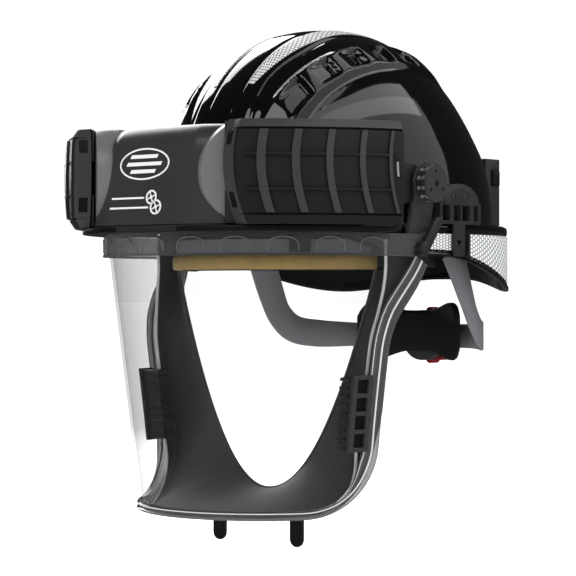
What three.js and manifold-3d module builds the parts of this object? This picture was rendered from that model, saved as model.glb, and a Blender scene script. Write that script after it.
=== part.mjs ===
// Powered air respirator: a hard hat with a brow-mounted twin blower and filter unit, a clear visor with a
// face seal that hangs under it, and a battery at the back. Millimetres, +Z up, the wearer looks along -Y
// and the wearer's left is +X. The origin is the middle of the head opening, level with the shell's rim.
import * as THREE from "three";
import { mergeVertices } from "three/addons/utils/BufferGeometryUtils.js";
import Module from "manifold-3d";

const wasm = await Module();
wasm.setup();

// ---------------------------------------------------------------- driving dimensions
const GAP = 0.5; // clearance kept between neighbouring pieces
const SHELL = { halfWidth: 107, halfLength: 134, height: 144, wall: 3, fullness: 2.12, lean: 5 };
// Heights of the skirt's lower edge round the shell.
const SKIRT = { front: -5, ear: -18, nape: -42.5, rear: -33 };
const LEDGE = { side: 2, rear: 13, height: 3 }; // how far the skirt steps out from the dome
const COVER_PLATE = { front: -20, rear: 28, low: 4, shoulder: 19, outer: 112.5 };
const COVER_ARCH = { y: 3, half: 22.5, rise: 13 };
const CRADLE = { width: 19, thick: 1.6, drop: 26, foot: 2 };
const KEY_ANGLES = [0.62, -0.62, Math.PI - 0.75, 0.75 - Math.PI];
const PIVOT = { y: -36, z: 30.5, boltRadius: 3, bossRadius: 12 };
const KNOB = { radius: 13, inner: 112.5, outer: 121 };
const LATCH = { y: -48, z: -13, inner: 115.5, outer: 119.2 };
const HOUSING = { faceHalf: 38.5, halfWidth: 57.5, front: -188, shoulder: -181, rear: -140 };
const HOUSING_SIDE = { base: 2, top: 67, wall: 2.5, bend: 46 };
const LEAN = 0.27; // how far the brow housing's face leans back for each millimetre of height
const FILTER = {
  startX: 59, startY: -181, startDeg: 36, turnDeg: 32, length: 122, depth: 27, low: 0.9, high: 67.5,
};
const COVER = { bevel: 9, thick: 11, chamfer: 4, low: 8, high: 60.5, wall: 2.2, rear: 113 };
const RIB = { count: 5, pitch: 20.3, first: 23.6, width: 5.3, taper: 0.55, height: 1.6 };
const BOW = { radius: 95, centre: 41 }; // the pod's ribs and its front end follow this curve
const DRUM = { radius: 36, along: 20, thick: 23.5, wall: 2 };
const FAN = { radius: 25, height: 12, blades: 11, hub: 9 };
const PLATE = { low: -3, high: 0.8 };
const VISOR = { centreY: -58, bottom: -190, thick: 2, corner: 45, straight: 110, rearRun: 20 };
const BAND = { centreY: -60, halfWidth: 112, halfLength: 122, low: -18, high: -3.5, thick: 3, rearRun: 22 };
const VENT = { arc: 1.31, low: -146.5, high: -98.3, half: 7 };
const BROW = { halfWidth: 88, frontY: -125, endY: -60, low: -27, high: -17.5, thick: 4 };
const HEADBAND = { centreY: -20, halfWidth: 80, halfLength: 98, low: -25, high: -5, thick: 2 };
const NAPE = { wheelRadius: 21.5, wheelZ: -75.5, padRadius: 84.5, padCentreY: 26, padZ: -72, padReach: 0.68 };
const BATTERY = { halfWidth: 40, front: 139, rear: 163, low: 8, high: 58.5 };
const CELL = { y: 150, radius: 8.8 };

// ---------------------------------------------------------------- materials
const plastic = (color, roughness) => new THREE.MeshStandardMaterial({ color, roughness, metalness: 0 });
const MATERIAL = {
  shell: plastic(0x050506, 0.12),
  satin: plastic(0x1b1b1d, 0.42),
  cover: plastic(0x151516, 0.5),
  grey: plastic(0x6f7073, 0.45),
  red: plastic(0x8d0912, 0.35),
  rubber: plastic(0x0c0c0d, 0.75),
  fabric: plastic(0x2d2d2f, 0.9),
  foam: plastic(0xa8813f, 0.85),
  paper: plastic(0xe9e6dc, 0.9),
  board: plastic(0x14532d, 0.5),
  sheet: plastic(0xe3e5e6, 0.4),
  clear: new THREE.MeshStandardMaterial({ color: 0xdfe6ea, roughness: 0.05, transparent: true, opacity: 0.35 }),
  steel: new THREE.MeshStandardMaterial({ color: 0xb5b7ba, roughness: 0.3, metalness: 1 }),
};

const model = new THREE.Group();

// ---------------------------------------------------------------- solids
// A closed three.js geometry as a manifold-3d solid.
function solid(geometry) {
  const bare = new THREE.BufferGeometry();
  const flat = geometry.index ? geometry.toNonIndexed() : geometry;
  bare.setAttribute("position", flat.getAttribute("position").clone());
  const merged = mergeVertices(bare, 1e-3);
  const mesh = new wasm.Mesh({
    numProp: 3,
    vertProperties: merged.attributes.position.array,
    triVerts: new Uint32Array(merged.index.array),
  });
  return new wasm.Manifold(mesh);
}

// A manifold-3d solid as a named mesh of the model.
function put(name, made, material) {
  const mesh = made.getMesh();
  const position = new Float32Array(mesh.numVert * 3);
  for (let i = 0; i < mesh.numVert; i++) {
    position.set(mesh.vertProperties.subarray(i * mesh.numProp, i * mesh.numProp + 3), i * 3);
  }
  const geometry = new THREE.BufferGeometry();
  geometry.setAttribute("position", new THREE.BufferAttribute(position, 3));
  geometry.setIndex(new THREE.BufferAttribute(new Uint32Array(mesh.triVerts), 1));
  geometry.computeVertexNormals();
  const node = new THREE.Mesh(geometry, material);
  node.name = name;
  model.add(node);
}

const mirrored = (made) => made.mirror([1, 0, 0]);

// Puts a solid made for the wearer's left on both sides.
function putPair(name, made, material) {
  put("left_" + name, made, material);
  put("right_" + name, mirrored(made), material);
}

// Triangles between two rows of vertex numbers, both closed or both open.
function stitch(index, rowA, rowB, closed) {
  const steps = closed ? rowA.length : rowA.length - 1;
  for (let i = 0; i < steps; i++) {
    const next = (i + 1) % rowA.length;
    index.push(rowA[i], rowA[next], rowB[next], rowA[i], rowB[next], rowB[i]);
  }
}

function fromTriangles(points, index) {
  const geometry = new THREE.BufferGeometry();
  geometry.setAttribute("position", new THREE.Float32BufferAttribute(points.flat(), 3));
  geometry.setIndex(index);
  const made = solid(geometry);
  if (made.volume() >= 0) return made;
  for (let i = 0; i < index.length; i += 3) [index[i + 1], index[i + 2]] = [index[i + 2], index[i + 1]];
  geometry.setIndex(index);
  return solid(geometry);
}

// A solid through closed rings of points, each ring capped from its middle at the two ends.
function loft(rings) {
  const count = rings[0].length;
  const points = rings.flat();
  const index = [];
  const row = (k) => Array.from({ length: count }, (_, i) => k * count + i);
  for (let k = 0; k + 1 < rings.length; k++) stitch(index, row(k), row(k + 1), true);
  for (const [k, turned] of [[0, true], [rings.length - 1, false]]) {
    const middle = [0, 1, 2].map((c) => rings[k].reduce((s, p) => s + p[c], 0) / count);
    points.push(middle);
    const centre = points.length - 1;
    for (let i = 0; i < count; i++) {
      const a = k * count + i;
      const b = k * count + ((i + 1) % count);
      index.push(...(turned ? [centre, b, a] : [centre, a, b]));
    }
  }
  return fromTriangles(points, index);
}

// A solid between two grids of points of the same size: a curved sheet with a thickness.
function sheet(front, back) {
  const rows = front.length;
  const columns = front[0].length;
  const points = [...front.flat(), ...back.flat()];
  const at = (side, r, c) => side * rows * columns + r * columns + c;
  const index = [];
  for (let r = 0; r + 1 < rows; r++) {
    for (let c = 0; c + 1 < columns; c++) {
      index.push(at(0, r, c), at(0, r, c + 1), at(0, r + 1, c + 1));
      index.push(at(0, r, c), at(0, r + 1, c + 1), at(0, r + 1, c));
      index.push(at(1, r, c), at(1, r + 1, c + 1), at(1, r, c + 1));
      index.push(at(1, r, c), at(1, r + 1, c), at(1, r + 1, c + 1));
    }
  }
  const border = [];
  for (let c = 0; c < columns; c++) border.push([0, c]);
  for (let r = 1; r < rows; r++) border.push([r, columns - 1]);
  for (let c = columns - 2; c >= 0; c--) border.push([rows - 1, c]);
  for (let r = rows - 2; r > 0; r--) border.push([r, 0]);
  stitch(index, border.map(([r, c]) => at(1, r, c)), border.map(([r, c]) => at(0, r, c)), true);
  return fromTriangles(points, index);
}

// A ribbon along a middle line. Its width, and the directions across it and out of it, may change along it.
function ribbon(line, across, normal, width, thick) {
  const edge = (k, w, t) => line[k].map((v, c) => v + across(k)[c] * w + normal(k)[c] * t);
  const ring = (k) => {
    const half = width(k) / 2;
    return [edge(k, -half, 0), edge(k, half, 0), edge(k, half, thick), edge(k, -half, thick)];
  };
  return loft(line.map((_, k) => ring(k)));
}

// An outline of [x, y] points pushed up from z = low to z = high, with openings cut right through it.
function prism(outline, low, high, openings = []) {
  const shape = new THREE.Shape(outline.map(([x, y]) => new THREE.Vector2(x, y)));
  const geometry = new THREE.ExtrudeGeometry(shape, { depth: high - low, bevelEnabled: false });
  const made = solid(geometry.translate(0, 0, low));
  return openings.reduce((rest, opening) => rest.subtract(prism(opening, low - 1, high + 1)), made);
}

// An outline of [y, z] points pushed from x = low to x = high.
function slab(outline, low, high, openings = []) {
  const turn = new THREE.Matrix4().set(0, 0, 1, 0, 1, 0, 0, 0, 0, 1, 0, 0, 0, 0, 0, 1);
  return prism(outline, low, high, openings).transform(turn.elements);
}

function box(x0, x1, y0, y1, z0, z1) {
  const geometry = new THREE.BoxGeometry(x1 - x0, y1 - y0, z1 - z0);
  return solid(geometry.translate((x0 + x1) / 2, (y0 + y1) / 2, (z0 + z1) / 2));
}

// A rounded rectangle's corner points.
function roundedRectangle(x0, x1, y0, y1, radius, steps = 4) {
  const corners = [[x1 - radius, y0 + radius, -90], [x1 - radius, y1 - radius, 0],
    [x0 + radius, y1 - radius, 90], [x0 + radius, y0 + radius, 180]];
  return corners.flatMap(([x, y, start]) => Array.from({ length: steps + 1 }, (_, i) => {
    const angle = THREE.MathUtils.degToRad(start + (90 * i) / steps);
    return [x + radius * Math.cos(angle), y + radius * Math.sin(angle)];
  }));
}

// A round bar from one point along a direction.
function rod(from, direction, length, radius, sides = 20, endRadius = radius) {
  const geometry = new THREE.CylinderGeometry(endRadius, radius, length, sides).translate(0, length / 2, 0);
  const axis = new THREE.Vector3(...direction).normalize();
  const turn = new THREE.Quaternion().setFromUnitVectors(new THREE.Vector3(0, 1, 0), axis);
  return solid(geometry.applyQuaternion(turn).translate(...from));
}

const circle = (radius, count, y = 0, z = 0) => Array.from({ length: count }, (_, i) => {
  const angle = (2 * Math.PI * i) / count;
  return [y + radius * Math.cos(angle), z + radius * Math.sin(angle)];
});

const steps = (from, to, count) => Array.from({ length: count + 1 }, (_, i) => from + ((to - from) * i) / count);
const smooth = (t) => {
  const c = Math.min(1, Math.max(0, t));
  return c * c * (3 - 2 * c);
};

// ---------------------------------------------------------------- helmet shell
// The plan angle is 0 at the front (-Y) and grows towards the wearer's left. The dome is a slightly squared
// ellipsoid whose crown leans forward; the skirt under it steps out by a ledge and hangs lowest at the nape.
const rearness = (angle) => smooth((0.1 - Math.cos(angle)) / 1.1);
const ledgeAt = (angle) => LEDGE.side + (LEDGE.rear - LEDGE.side) * rearness(angle);
const crownShift = (z) => -SHELL.lean * smooth((z - 40) / 50);
function skirtLow(angle) {
  const fromFront = Math.abs(Math.atan2(Math.sin(angle), Math.cos(angle)));
  const toEar = (SKIRT.ear - SKIRT.front) * smooth((fromFront - 0.75) / 0.5);
  const toNape = (SKIRT.nape - SKIRT.ear) * smooth(fromFront - 1.45);
  const toRear = (SKIRT.rear - SKIRT.nape) * smooth((fromFront - 2.45) / 0.6);
  return SKIRT.front + toEar + toNape + toRear;
}
function domePoint(angle, rise, offset) {
  const out = Math.max(0, Math.cos(rise)) ** (2 / SHELL.fullness);
  const z = (SHELL.height + offset) * Math.sin(rise) ** (2 / SHELL.fullness);
  const y = -(SHELL.halfLength + offset) * Math.cos(angle) * out;
  return [(SHELL.halfWidth + offset) * Math.sin(angle) * out, y + crownShift(z), z];
}
function skirtPoint(angle, offset, z) {
  const out = ledgeAt(angle) + offset;
  return [(SHELL.halfWidth + out) * Math.sin(angle), -(SHELL.halfLength + out) * Math.cos(angle), z];
}
// The surface from the crown to the skirt's edge, moved out by an offset.
function shellProfile(angle, offset, low) {
  const dome = steps(Math.PI / 2, 0.035, 11).map((rise) => domePoint(angle, rise, offset));
  const ledge = offset >= 0 ? LEDGE.height - 0.6 : 0.4;
  return [...dome, skirtPoint(angle, offset, ledge), skirtPoint(angle, offset, low)];
}
function turned(profileAt, around) {
  const rows = steps(0, 2 * Math.PI, around).slice(0, -1).map(profileAt);
  const points = [rows[0][0], rows[0][rows[0].length - 1]];
  const inner = rows[0].length - 2;
  for (const row of rows) points.push(...row.slice(1, -1));
  const index = [];
  rows.forEach((_, i) => {
    const next = (i + 1) % rows.length;
    const a = (j) => 2 + i * inner + j;
    const b = (j) => 2 + next * inner + j;
    index.push(0, b(0), a(0), 1, a(inner - 1), b(inner - 1));
    for (let j = 0; j + 1 < inner; j++) index.push(a(j), b(j), b(j + 1), a(j), b(j + 1), a(j + 1));
  });
  return fromTriangles(points, index);
}
const AROUND = 48;
function shellSolid(offset) {
  const low = -60;
  return turned((angle) => [...shellProfile(angle, offset, low), [0, 0, low]], AROUND);
}
const shellKeepOut = shellSolid(GAP);
function helmetShell() {
  const raw = turned((angle) => {
    const low = skirtLow(angle);
    const outside = shellProfile(angle, 0, low);
    const inside = shellProfile(angle, -SHELL.wall, low).reverse();
    return [...outside, ...inside];
  }, AROUND);
  const bolt = rod([-130, PIVOT.y, PIVOT.z], [1, 0, 0], 260, PIVOT.boltRadius + GAP, 16);
  return raw.subtract(bolt);
}
put("helmet_shell", helmetShell(), MATERIAL.shell);

// Two reflective sheets run back over the crown, and two more lie round the skirt.
function crownPoint(x, lift, offset) {
  const along = Math.sign(Math.cos(lift)) * Math.abs(Math.cos(lift)) ** (2 / SHELL.fullness);
  const narrow = Math.sqrt(1 - (x / SHELL.halfWidth) ** 2);
  const out = Math.hypot(x / SHELL.halfWidth, along * narrow);
  const z = (SHELL.height + offset) * (1 - out ** SHELL.fullness) ** (1 / SHELL.fullness);
  return [x, -(SHELL.halfLength + offset) * along * narrow + crownShift(z), z];
}
function crownDecal() {
  const inner = (t) => 11.5 + 2.5 * Math.sin(Math.PI * t);
  const outer = (t) => inner(t) + 13 * Math.sin(Math.PI * Math.min(1, 0.06 + 0.94 * t)) ** 0.6 + 0.4;
  const row = (t, offset) => steps(inner(t), outer(t), 3).map((x) =>
    crownPoint(x, THREE.MathUtils.lerp(0.66, Math.PI - 0.75, t), offset));
  const grid = (offset) => steps(0, 1, 14).map((t) => row(t, offset));
  return sheet(grid(1.2), grid(0.6));
}
putPair("crown_decal", crownDecal(), MATERIAL.sheet);

function skirtDecal() {
  const margin = 2.5;
  const grid = (offset) => steps(1.3, Math.PI - 0.06, 16).map((angle) =>
    steps(-margin, skirtLow(angle) + margin, 2).map((z) => skirtPoint(angle, offset, z)));
  return sheet(grid(1.0), grid(0.4));
}
putPair("skirt_decal", skirtDecal(), MATERIAL.sheet);

// The accessory cover closes the slot at the side: an arched plate, four open slots and a clip post below.
function accessoryCover() {
  const { front, rear, low, shoulder, outer } = COVER_PLATE;
  const arch = steps(0, 180, 10).map((deg) => {
    const a = THREE.MathUtils.degToRad(deg);
    return [COVER_ARCH.y + COVER_ARCH.half * Math.cos(a), shoulder + COVER_ARCH.rise * Math.sin(a)];
  });
  const outline = [[front, low], [rear, low], [rear, shoulder], ...arch, [front, shoulder]];
  const slots = [[-17, -8.5], [-4, 4], [6, 15], [19.5, 25]];
  const openings = slots.map(([a, b]) => [[a, low + 2.5], [b, low + 2.5], [b, shoulder - 2], [a, shoulder - 2]]);
  const plate = slab(outline, outer - 16, outer, openings);
  const post = slab(roundedRectangle(-4, 9, -18, 6, 2, 2), outer - 1.9, outer);
  const pierced = post.subtract(slab([[-0.5, -7], [5.5, -7], [2.5, -12]], outer - 12, outer + 8));
  return plate.subtract(shellSolid(GAP)).add(pierced);
}
putPair("accessory_cover", accessoryCover(), MATERIAL.satin);

// ---------------------------------------------------------------- head harness
function headbandPoint(angle, offset) {
  const y = HEADBAND.centreY - (HEADBAND.halfLength + offset) * Math.cos(angle);
  return [(HEADBAND.halfWidth + offset) * Math.sin(angle), y];
}
function bandSolid(reach, low, high, inner, outer, count = 28) {
  const out = steps(-reach, reach, count).map((a) => headbandPoint(a, outer));
  const back = steps(reach, -reach, count).map((a) => headbandPoint(a, inner));
  return prism([...out, ...back], low, high);
}
put("headband", bandSolid(2.15, HEADBAND.low, HEADBAND.high, 0, HEADBAND.thick), MATERIAL.rubber);
function sweatband() {
  const { low, high, thick } = HEADBAND;
  const sleeve = bandSolid(1.15, low - 3, high + 3, -5, thick + 3, 18);
  return sleeve.subtract(bandSolid(1.25, low - GAP, high + GAP, -GAP, thick + GAP, 20));
}
put("sweatband", sweatband(), MATERIAL.foam);

// Two webbing straps cross over the crown and are carried at their ends by four keys in the shell's rim.
function cradlePoint(angle, rise) {
  const inset = CRADLE.drop * Math.sin(rise) ** 2 + 11;
  const out = Math.cos(rise);
  const x = (SHELL.halfWidth - inset) * Math.sin(angle) * out;
  const y = -(SHELL.halfLength - inset) * Math.cos(angle) * out;
  return [x, y, (SHELL.height - inset) * Math.sin(rise) + CRADLE.foot];
}
function cradleStrap(angle) {
  const rises = steps(0.02, Math.PI / 2, 9);
  const line = rises.map((rise) => cradlePoint(angle, rise));
  const across = () => [Math.cos(angle), Math.sin(angle), 0];
  const normal = (k) => {
    const out = Math.cos(rises[k]);
    return [Math.sin(angle) * out, -Math.cos(angle) * out, Math.sin(rises[k])];
  };
  return ribbon(line, across, normal, () => CRADLE.width, CRADLE.thick);
}
function crownCradle() {
  const hubHeight = cradlePoint(0, Math.PI / 2)[2];
  const hub = prism(circle(17, 20), hubHeight - 0.2, hubHeight + CRADLE.thick + 0.4);
  return KEY_ANGLES.map(cradleStrap).reduce((sum, strap) => sum.add(strap), hub);
}
put("crown_cradle", crownCradle(), MATERIAL.fabric);

function harnessKey(angle) {
  const [x, y] = skirtPoint(angle, -SHELL.wall - 4.2, 0);
  const block = box(-12, 12, -2.2, 3.2, -4, 1.2).add(box(-7, 7, -2.2, 1, -16, -3));
  const facing = Math.atan2(y / SHELL.halfLength ** 2, x / SHELL.halfWidth ** 2);
  const clear = shellSolid(-SHELL.wall - GAP);
  return block.rotate([0, 0, THREE.MathUtils.radToDeg(facing) - 90]).translate([x, y, 0]).intersect(clear);
}
["front_left", "front_right", "rear_left", "rear_right"].forEach((name, i) => {
  put("harness_key_" + name, harnessKey(KEY_ANGLES[i]), MATERIAL.satin);
});

// The nape arms hang behind the ears, drop and run back to the ratchet behind the neck.
function napeArm() {
  const knots = [[88, 26, -13], [88.5, 31, -23], [89, 41, -44], [88.5, 50, -60], [85, 63, -71], [76, 80, -74.5],
    [58, 98, -75.3], [36, 109.5, -75.5], [21, 113, -75.5]];
  const path = new THREE.CatmullRomCurve3(knots.map((p) => new THREE.Vector3(...p)), false, "centripetal");
  const count = 26;
  const line = steps(0, 1, count).map((t) => path.getPointAt(t).toArray());
  const tangents = steps(0, 1, count).map((t) => path.getTangentAt(t));
  const outward = (k) => {
    const away = new THREE.Vector3(line[k][0], line[k][1] - 20, 0);
    return away.addScaledVector(tangents[k], -away.dot(tangents[k])).normalize();
  };
  const normal = (k) => outward(k).toArray();
  const across = (k) => new THREE.Vector3().crossVectors(outward(k), tangents[k]).normalize().toArray();
  const width = (k) => 27 - 9 * smooth((k / count - 0.05) / 0.35);
  return ribbon(line, across, normal, width, 2.2);
}
putPair("nape_arm", napeArm(), MATERIAL.grey);

function napePad() {
  const { padRadius, padCentreY, padZ, padReach } = NAPE;
  const half = (a) => 15.5 + 6 * smooth((Math.abs(a) - 0.12) / 0.36) - 5 * smooth((Math.abs(a) - 0.56) / 0.12);
  const row = (a, radius) => steps(-1, 1, 4).map((v) =>
    [radius * Math.sin(a), padCentreY + radius * Math.cos(a), padZ + v * half(a)]);
  const grid = (radius) => steps(-padReach, padReach, 16).map((a) => row(a, radius));
  return sheet(grid(padRadius), grid(padRadius - 5));
}
put("nape_pad", napePad(), MATERIAL.rubber);

function ratchetHousing() {
  const z = NAPE.wheelZ;
  const cup = rod([0, 111.2, z], [0, 1, 0], 9.3, 19, 28);
  const slots = box(-30, 30, 110.5, 116.8, z - 10, z + 10);
  const window = rod([0, 108, z], [0, 1, 0], 20, 5.5, 16);
  return cup.subtract(slots).add(rod([0, 116.9, z], [0, 1, 0], 3.6, 19, 28)).subtract(window);
}
put("ratchet_housing", ratchetHousing(), MATERIAL.satin);

function sizeWheel() {
  const z = NAPE.wheelZ;
  const lobeAt = NAPE.wheelRadius - 3;
  const rim = rod([0, 121.2, z], [0, 1, 0], 10, NAPE.wheelRadius - 2, 32);
  const lobes = steps(0, 2 * Math.PI, 12).slice(0, -1).map((a) =>
    rod([lobeAt * Math.cos(a), 121.2, z + lobeAt * Math.sin(a)], [0, 1, 0], 10, 3, 8));
  const stub = rod([0, 112.5, z], [0, 1, 0], 10, 5, 16);
  return lobes.reduce((sum, lobe) => sum.add(lobe), rim).add(stub);
}
put("size_wheel", sizeWheel(), MATERIAL.red);

// ---------------------------------------------------------------- battery
function batteryCradle() {
  const foot = LEDGE.height + 0.3;
  const back = box(-34, 34, 100, BATTERY.front - GAP, foot, 54);
  const shelfOutline = [[-44, 108], [44, 108], [44, 140], [36, 157], [-36, 157], [-44, 140]];
  return back.add(prism(shelfOutline, foot, BATTERY.low - GAP)).subtract(shellKeepOut);
}
put("battery_cradle", batteryCradle(), MATERIAL.satin);

function batteryCase() {
  const { halfWidth: w, front, rear, low, high } = BATTERY;
  const corner = (middle, from) => steps(from, from + 90, 4).map((d) => {
    const a = THREE.MathUtils.degToRad(d);
    return [middle + 8 * Math.cos(a), rear - 8 + 8 * Math.sin(a)];
  });
  const body = prism([[-w, front], [w, front], ...corner(w - 8, 0), ...corner(8 - w, 90)], low, high);
  const hollow = box(-w + 2.2, w - 2.2, front - 5, rear - 2.2, low + 2.2, high - 2.2);
  const button = rod([0, rear - 10, 20], [0, 1, 0], 20, 5 + GAP, 20);
  const lens = box(-12, 12, rear - 10, rear + 5, 31.5, 36.5);
  const latches = box(-w - 5, w + 5, 146, 156, 38, 50);
  return body.subtract(hollow).subtract(button).subtract(lens).subtract(latches);
}
function batteryLid() {
  const { halfWidth, front, low, high } = BATTERY;
  return box(2.8 - halfWidth, halfWidth - 2.8, front + 0.2, front + 1.8, low + 2.8, high - 2.8);
}
const cell = (half, z) => rod([-half, CELL.y, z], [1, 0, 0], 2 * half, CELL.radius, 18);
put("battery_case", batteryCase(), MATERIAL.satin);
put("battery_lid", batteryLid(), MATERIAL.satin);
put("battery_cell_lower", cell(33, 20), MATERIAL.paper);
put("battery_cell_upper", cell(28, 46.5), MATERIAL.paper);
put("power_button", rod([0, BATTERY.rear - 2.4, 20], [0, 1, 0], 4, 5, 20), MATERIAL.rubber);
put("status_lens", box(-11.5, 11.5, BATTERY.rear - 2.1, BATTERY.rear + 0.6, 32, 36), MATERIAL.clear);
putPair("battery_latch", box(31, 41.8, 146.6, 155.4, 38.6, 49.4), MATERIAL.red);

// The lead runs inside the shell, above the rim, from the battery cradle to the right-hand pivot.
function powerLead() {
  const line = steps(Math.PI + 0.25, 2 * Math.PI - 1.3, 22).map((angle) => {
    return new THREE.Vector3(...domePoint(angle, 0.06, -SHELL.wall - 2.2));
  });
  const curve = new THREE.CatmullRomCurve3(line);
  const section = new THREE.Shape(circle(1.6, 8).map(([x, y]) => new THREE.Vector2(x, y)));
  const geometry = new THREE.ExtrudeGeometry(section, { extrudePath: curve, steps: 40, bevelEnabled: false });
  return solid(geometry);
}
put("power_lead", powerLead(), MATERIAL.rubber);

// ---------------------------------------------------------------- filter pods
// A pod follows an arc in plan: along is the distance from its front end, out the distance from its inner face.
const podRadius = FILTER.length / THREE.MathUtils.degToRad(FILTER.turnDeg);
function podHeading(along) {
  return THREE.MathUtils.degToRad(FILTER.startDeg) + along / podRadius;
}
function podPoint(along, out, z) {
  const start = podHeading(0);
  const here = podHeading(along);
  const x = FILTER.startX + podRadius * (Math.sin(here) - Math.sin(start)) + out * Math.sin(here);
  const y = FILTER.startY + podRadius * (Math.cos(start) - Math.cos(here)) - out * Math.cos(here);
  return [x, y, z];
}
const bow = (z) => ((z - BOW.centre) ** 2) / (2 * BOW.radius);
function podOutline(fromAlong, toAlong, inner, outer, count = 12) {
  const far = steps(fromAlong, toAlong, count).map((a) => podPoint(a, outer, 0).slice(0, 2));
  const near = steps(toAlong, fromAlong, count).map((a) => podPoint(a, inner, 0).slice(0, 2));
  return [...far, ...near];
}
// The drum of the blower stands on the pod's inner face, its axis square to the pod.
const drumAxis = [Math.sin(podHeading(DRUM.along)), -Math.cos(podHeading(DRUM.along)), 0];
const podMiddle = (FILTER.low + FILTER.high) / 2;
const drumDirection = new THREE.Vector3(...drumAxis);
const drumBase = podPoint(DRUM.along, -27, podMiddle);
function drumSolid(grow) {
  const profile = [[0, -grow], [DRUM.radius - 5 + grow, -grow], [DRUM.radius + grow, 6], [DRUM.radius + grow, 16],
    [DRUM.radius - 4 + grow, DRUM.thick - 4], [DRUM.radius - 12 + grow, DRUM.thick + grow], [0, DRUM.thick + grow]];
  const lathe = new THREE.LatheGeometry(profile.map(([r, h]) => new THREE.Vector2(r, h)), 36);
  const turn = new THREE.Quaternion().setFromUnitVectors(new THREE.Vector3(0, 1, 0), drumDirection);
  return solid(lathe.applyQuaternion(turn).translate(...drumBase));
}
const alongDrum = (distance) => drumBase.map((v, c) => v + drumAxis[c] * distance);
const trimTop = box(-200, 200, -260, 0, PLATE.high, FILTER.high + 0.5);

function fanHousing() {
  const hollow = rod(alongDrum(DRUM.wall), drumAxis, DRUM.thick, DRUM.radius - 8, 32);
  const outlet = rod(alongDrum(12), [-0.72, 0.1, -0.35], 60, 9, 16);
  const below = box(0, 60, -180, -120, -10, 12).intersect(rod(alongDrum(6), drumAxis, 12, DRUM.radius - 3, 24));
  return drumSolid(0).intersect(trimTop).subtract(hollow).subtract(outlet).subtract(below);
}
putPair("fan_housing", fanHousing(), MATERIAL.satin);
putPair("fan_motor", rod(alongDrum(DRUM.wall + 0.3), drumAxis, 5.2, 10, 20), MATERIAL.steel);

function fanRotor() {
  const turn = new THREE.Quaternion().setFromUnitVectors(new THREE.Vector3(0, 0, 1), drumDirection);
  const disc = prism(circle(FAN.radius, 28), 0, 1.6);
  const hub = prism(circle(FAN.hub, 16), 0, 6);
  const blades = steps(0, 360, FAN.blades).slice(0, -1).map((deg) =>
    box(11, FAN.radius - 0.4, -0.7, 0.7, 1, FAN.height).rotate([0, 0, 18]).rotate([0, 0, deg]));
  const ring = prism(circle(FAN.radius, 28), FAN.height - 1.2, FAN.height, [circle(FAN.radius - 5, 28)]);
  const rotor = blades.reduce((sum, blade) => sum.add(blade), disc.add(hub).add(ring));
  const place = new THREE.Matrix4().makeRotationFromQuaternion(turn).setPosition(...alongDrum(8.4));
  return rotor.transform(place.elements);
}
putPair("fan_rotor", fanRotor(), MATERIAL.grey);

// The filter case is a tray behind the cover. Its rear end carries the pivot arm.
function filterCase() {
  const { length, low, high, depth } = FILTER;
  const { y, z } = PIVOT;
  const fromAlong = 64;
  const within = podOutline(fromAlong + 2.5, length - 4.5, -depth + 2.5, 5, 8);
  const tray = prism(podOutline(fromAlong, length - 2, -depth, -GAP, 8), low + 0.8, high - 0.8);
  const hollow = prism(within, low + 3.2, high - 3.2);
  const backplate = prism(podOutline(1, length - 2, -1.0 - GAP, -GAP, 10), low + 0.8, high - 0.8);
  const intake = rod(podPoint(DRUM.along, -8, podMiddle), drumAxis, 16, DRUM.radius - 14, 24);
  const armOutline = [[y + 11, z - 6], [y + 11, z + 6], [y + 4, z + 11.5], [-90, 46], [-90, 16], [y + 4, z - 11.5]];
  const arm = slab(armOutline, 104.6, 108);
  const armRoot = box(104.6, 112, -92, -82, 17, 45);
  const eye = rod([104.6, y, z], [1, 0, 0], 3.4, 12, 24);
  const hole = rod([90, y, z], [1, 0, 0], 40, PIVOT.boltRadius + GAP, 20);
  const carrier = arm.add(armRoot).add(eye).subtract(hollow);
  return tray.add(backplate.subtract(intake)).subtract(hollow).add(carrier).subtract(hole);
}
putPair("filter_case", filterCase(), MATERIAL.satin);

function filterElement() {
  const from = 68;
  const to = FILTER.length - 6;
  const pleats = 11;
  const outer = [];
  const inner = [];
  steps(from, to, pleats * 2).forEach((a, i) => {
    outer.push(podPoint(a, i % 2 ? -2.2 : -0.9, 0).slice(0, 2));
    inner.push(podPoint(a, i % 2 ? -20 : -17, 0).slice(0, 2));
  });
  return prism([...outer, ...inner.reverse()], FILTER.low + 4.5, FILTER.high - 4.5);
}
putPair("filter_element", filterElement(), MATERIAL.paper);

// The ribbed cover: a bevelled front end, chamfers along its top and bottom, bowed ribs and three rails.
function coverDepth(along) {
  const crown = Math.sin((Math.PI * Math.min(along, 110)) / FILTER.length) ** 0.7;
  return COVER.thick * smooth((along / COVER.bevel) * 0.8 + 0.12) + 3.2 * crown;
}
function coverRing(along, grow, inner) {
  const depth = Math.max(coverDepth(Math.max(along, 0)) + grow, inner + 0.6);
  const edge = Math.max(depth - COVER.chamfer - grow, inner + 0.4);
  const low = FILTER.low - grow;
  const high = FILTER.high + grow;
  const section = [[low, inner], [low, edge], [COVER.low, depth], [podMiddle, depth + 1], [COVER.high, depth],
    [high, edge], [high, inner]];
  return section.map(([z, out]) => podPoint(along + bow(z), out, z));
}
function coverRib(i) {
  const width = RIB.width - RIB.taper * i;
  const start = RIB.first + i * RIB.pitch - width / 2;
  const levels = [COVER.low, 24, podMiddle, 48, COVER.high];
  const ring = (along) => [
    ...levels.map((z) => podPoint(along + bow(z), coverDepth(along) + RIB.height + 0.9, z)),
    ...levels.slice().reverse().map((z) => podPoint(along + bow(z), coverDepth(along) - 1, z)),
  ];
  return loft([ring(start), ring(start + width)]);
}
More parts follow.
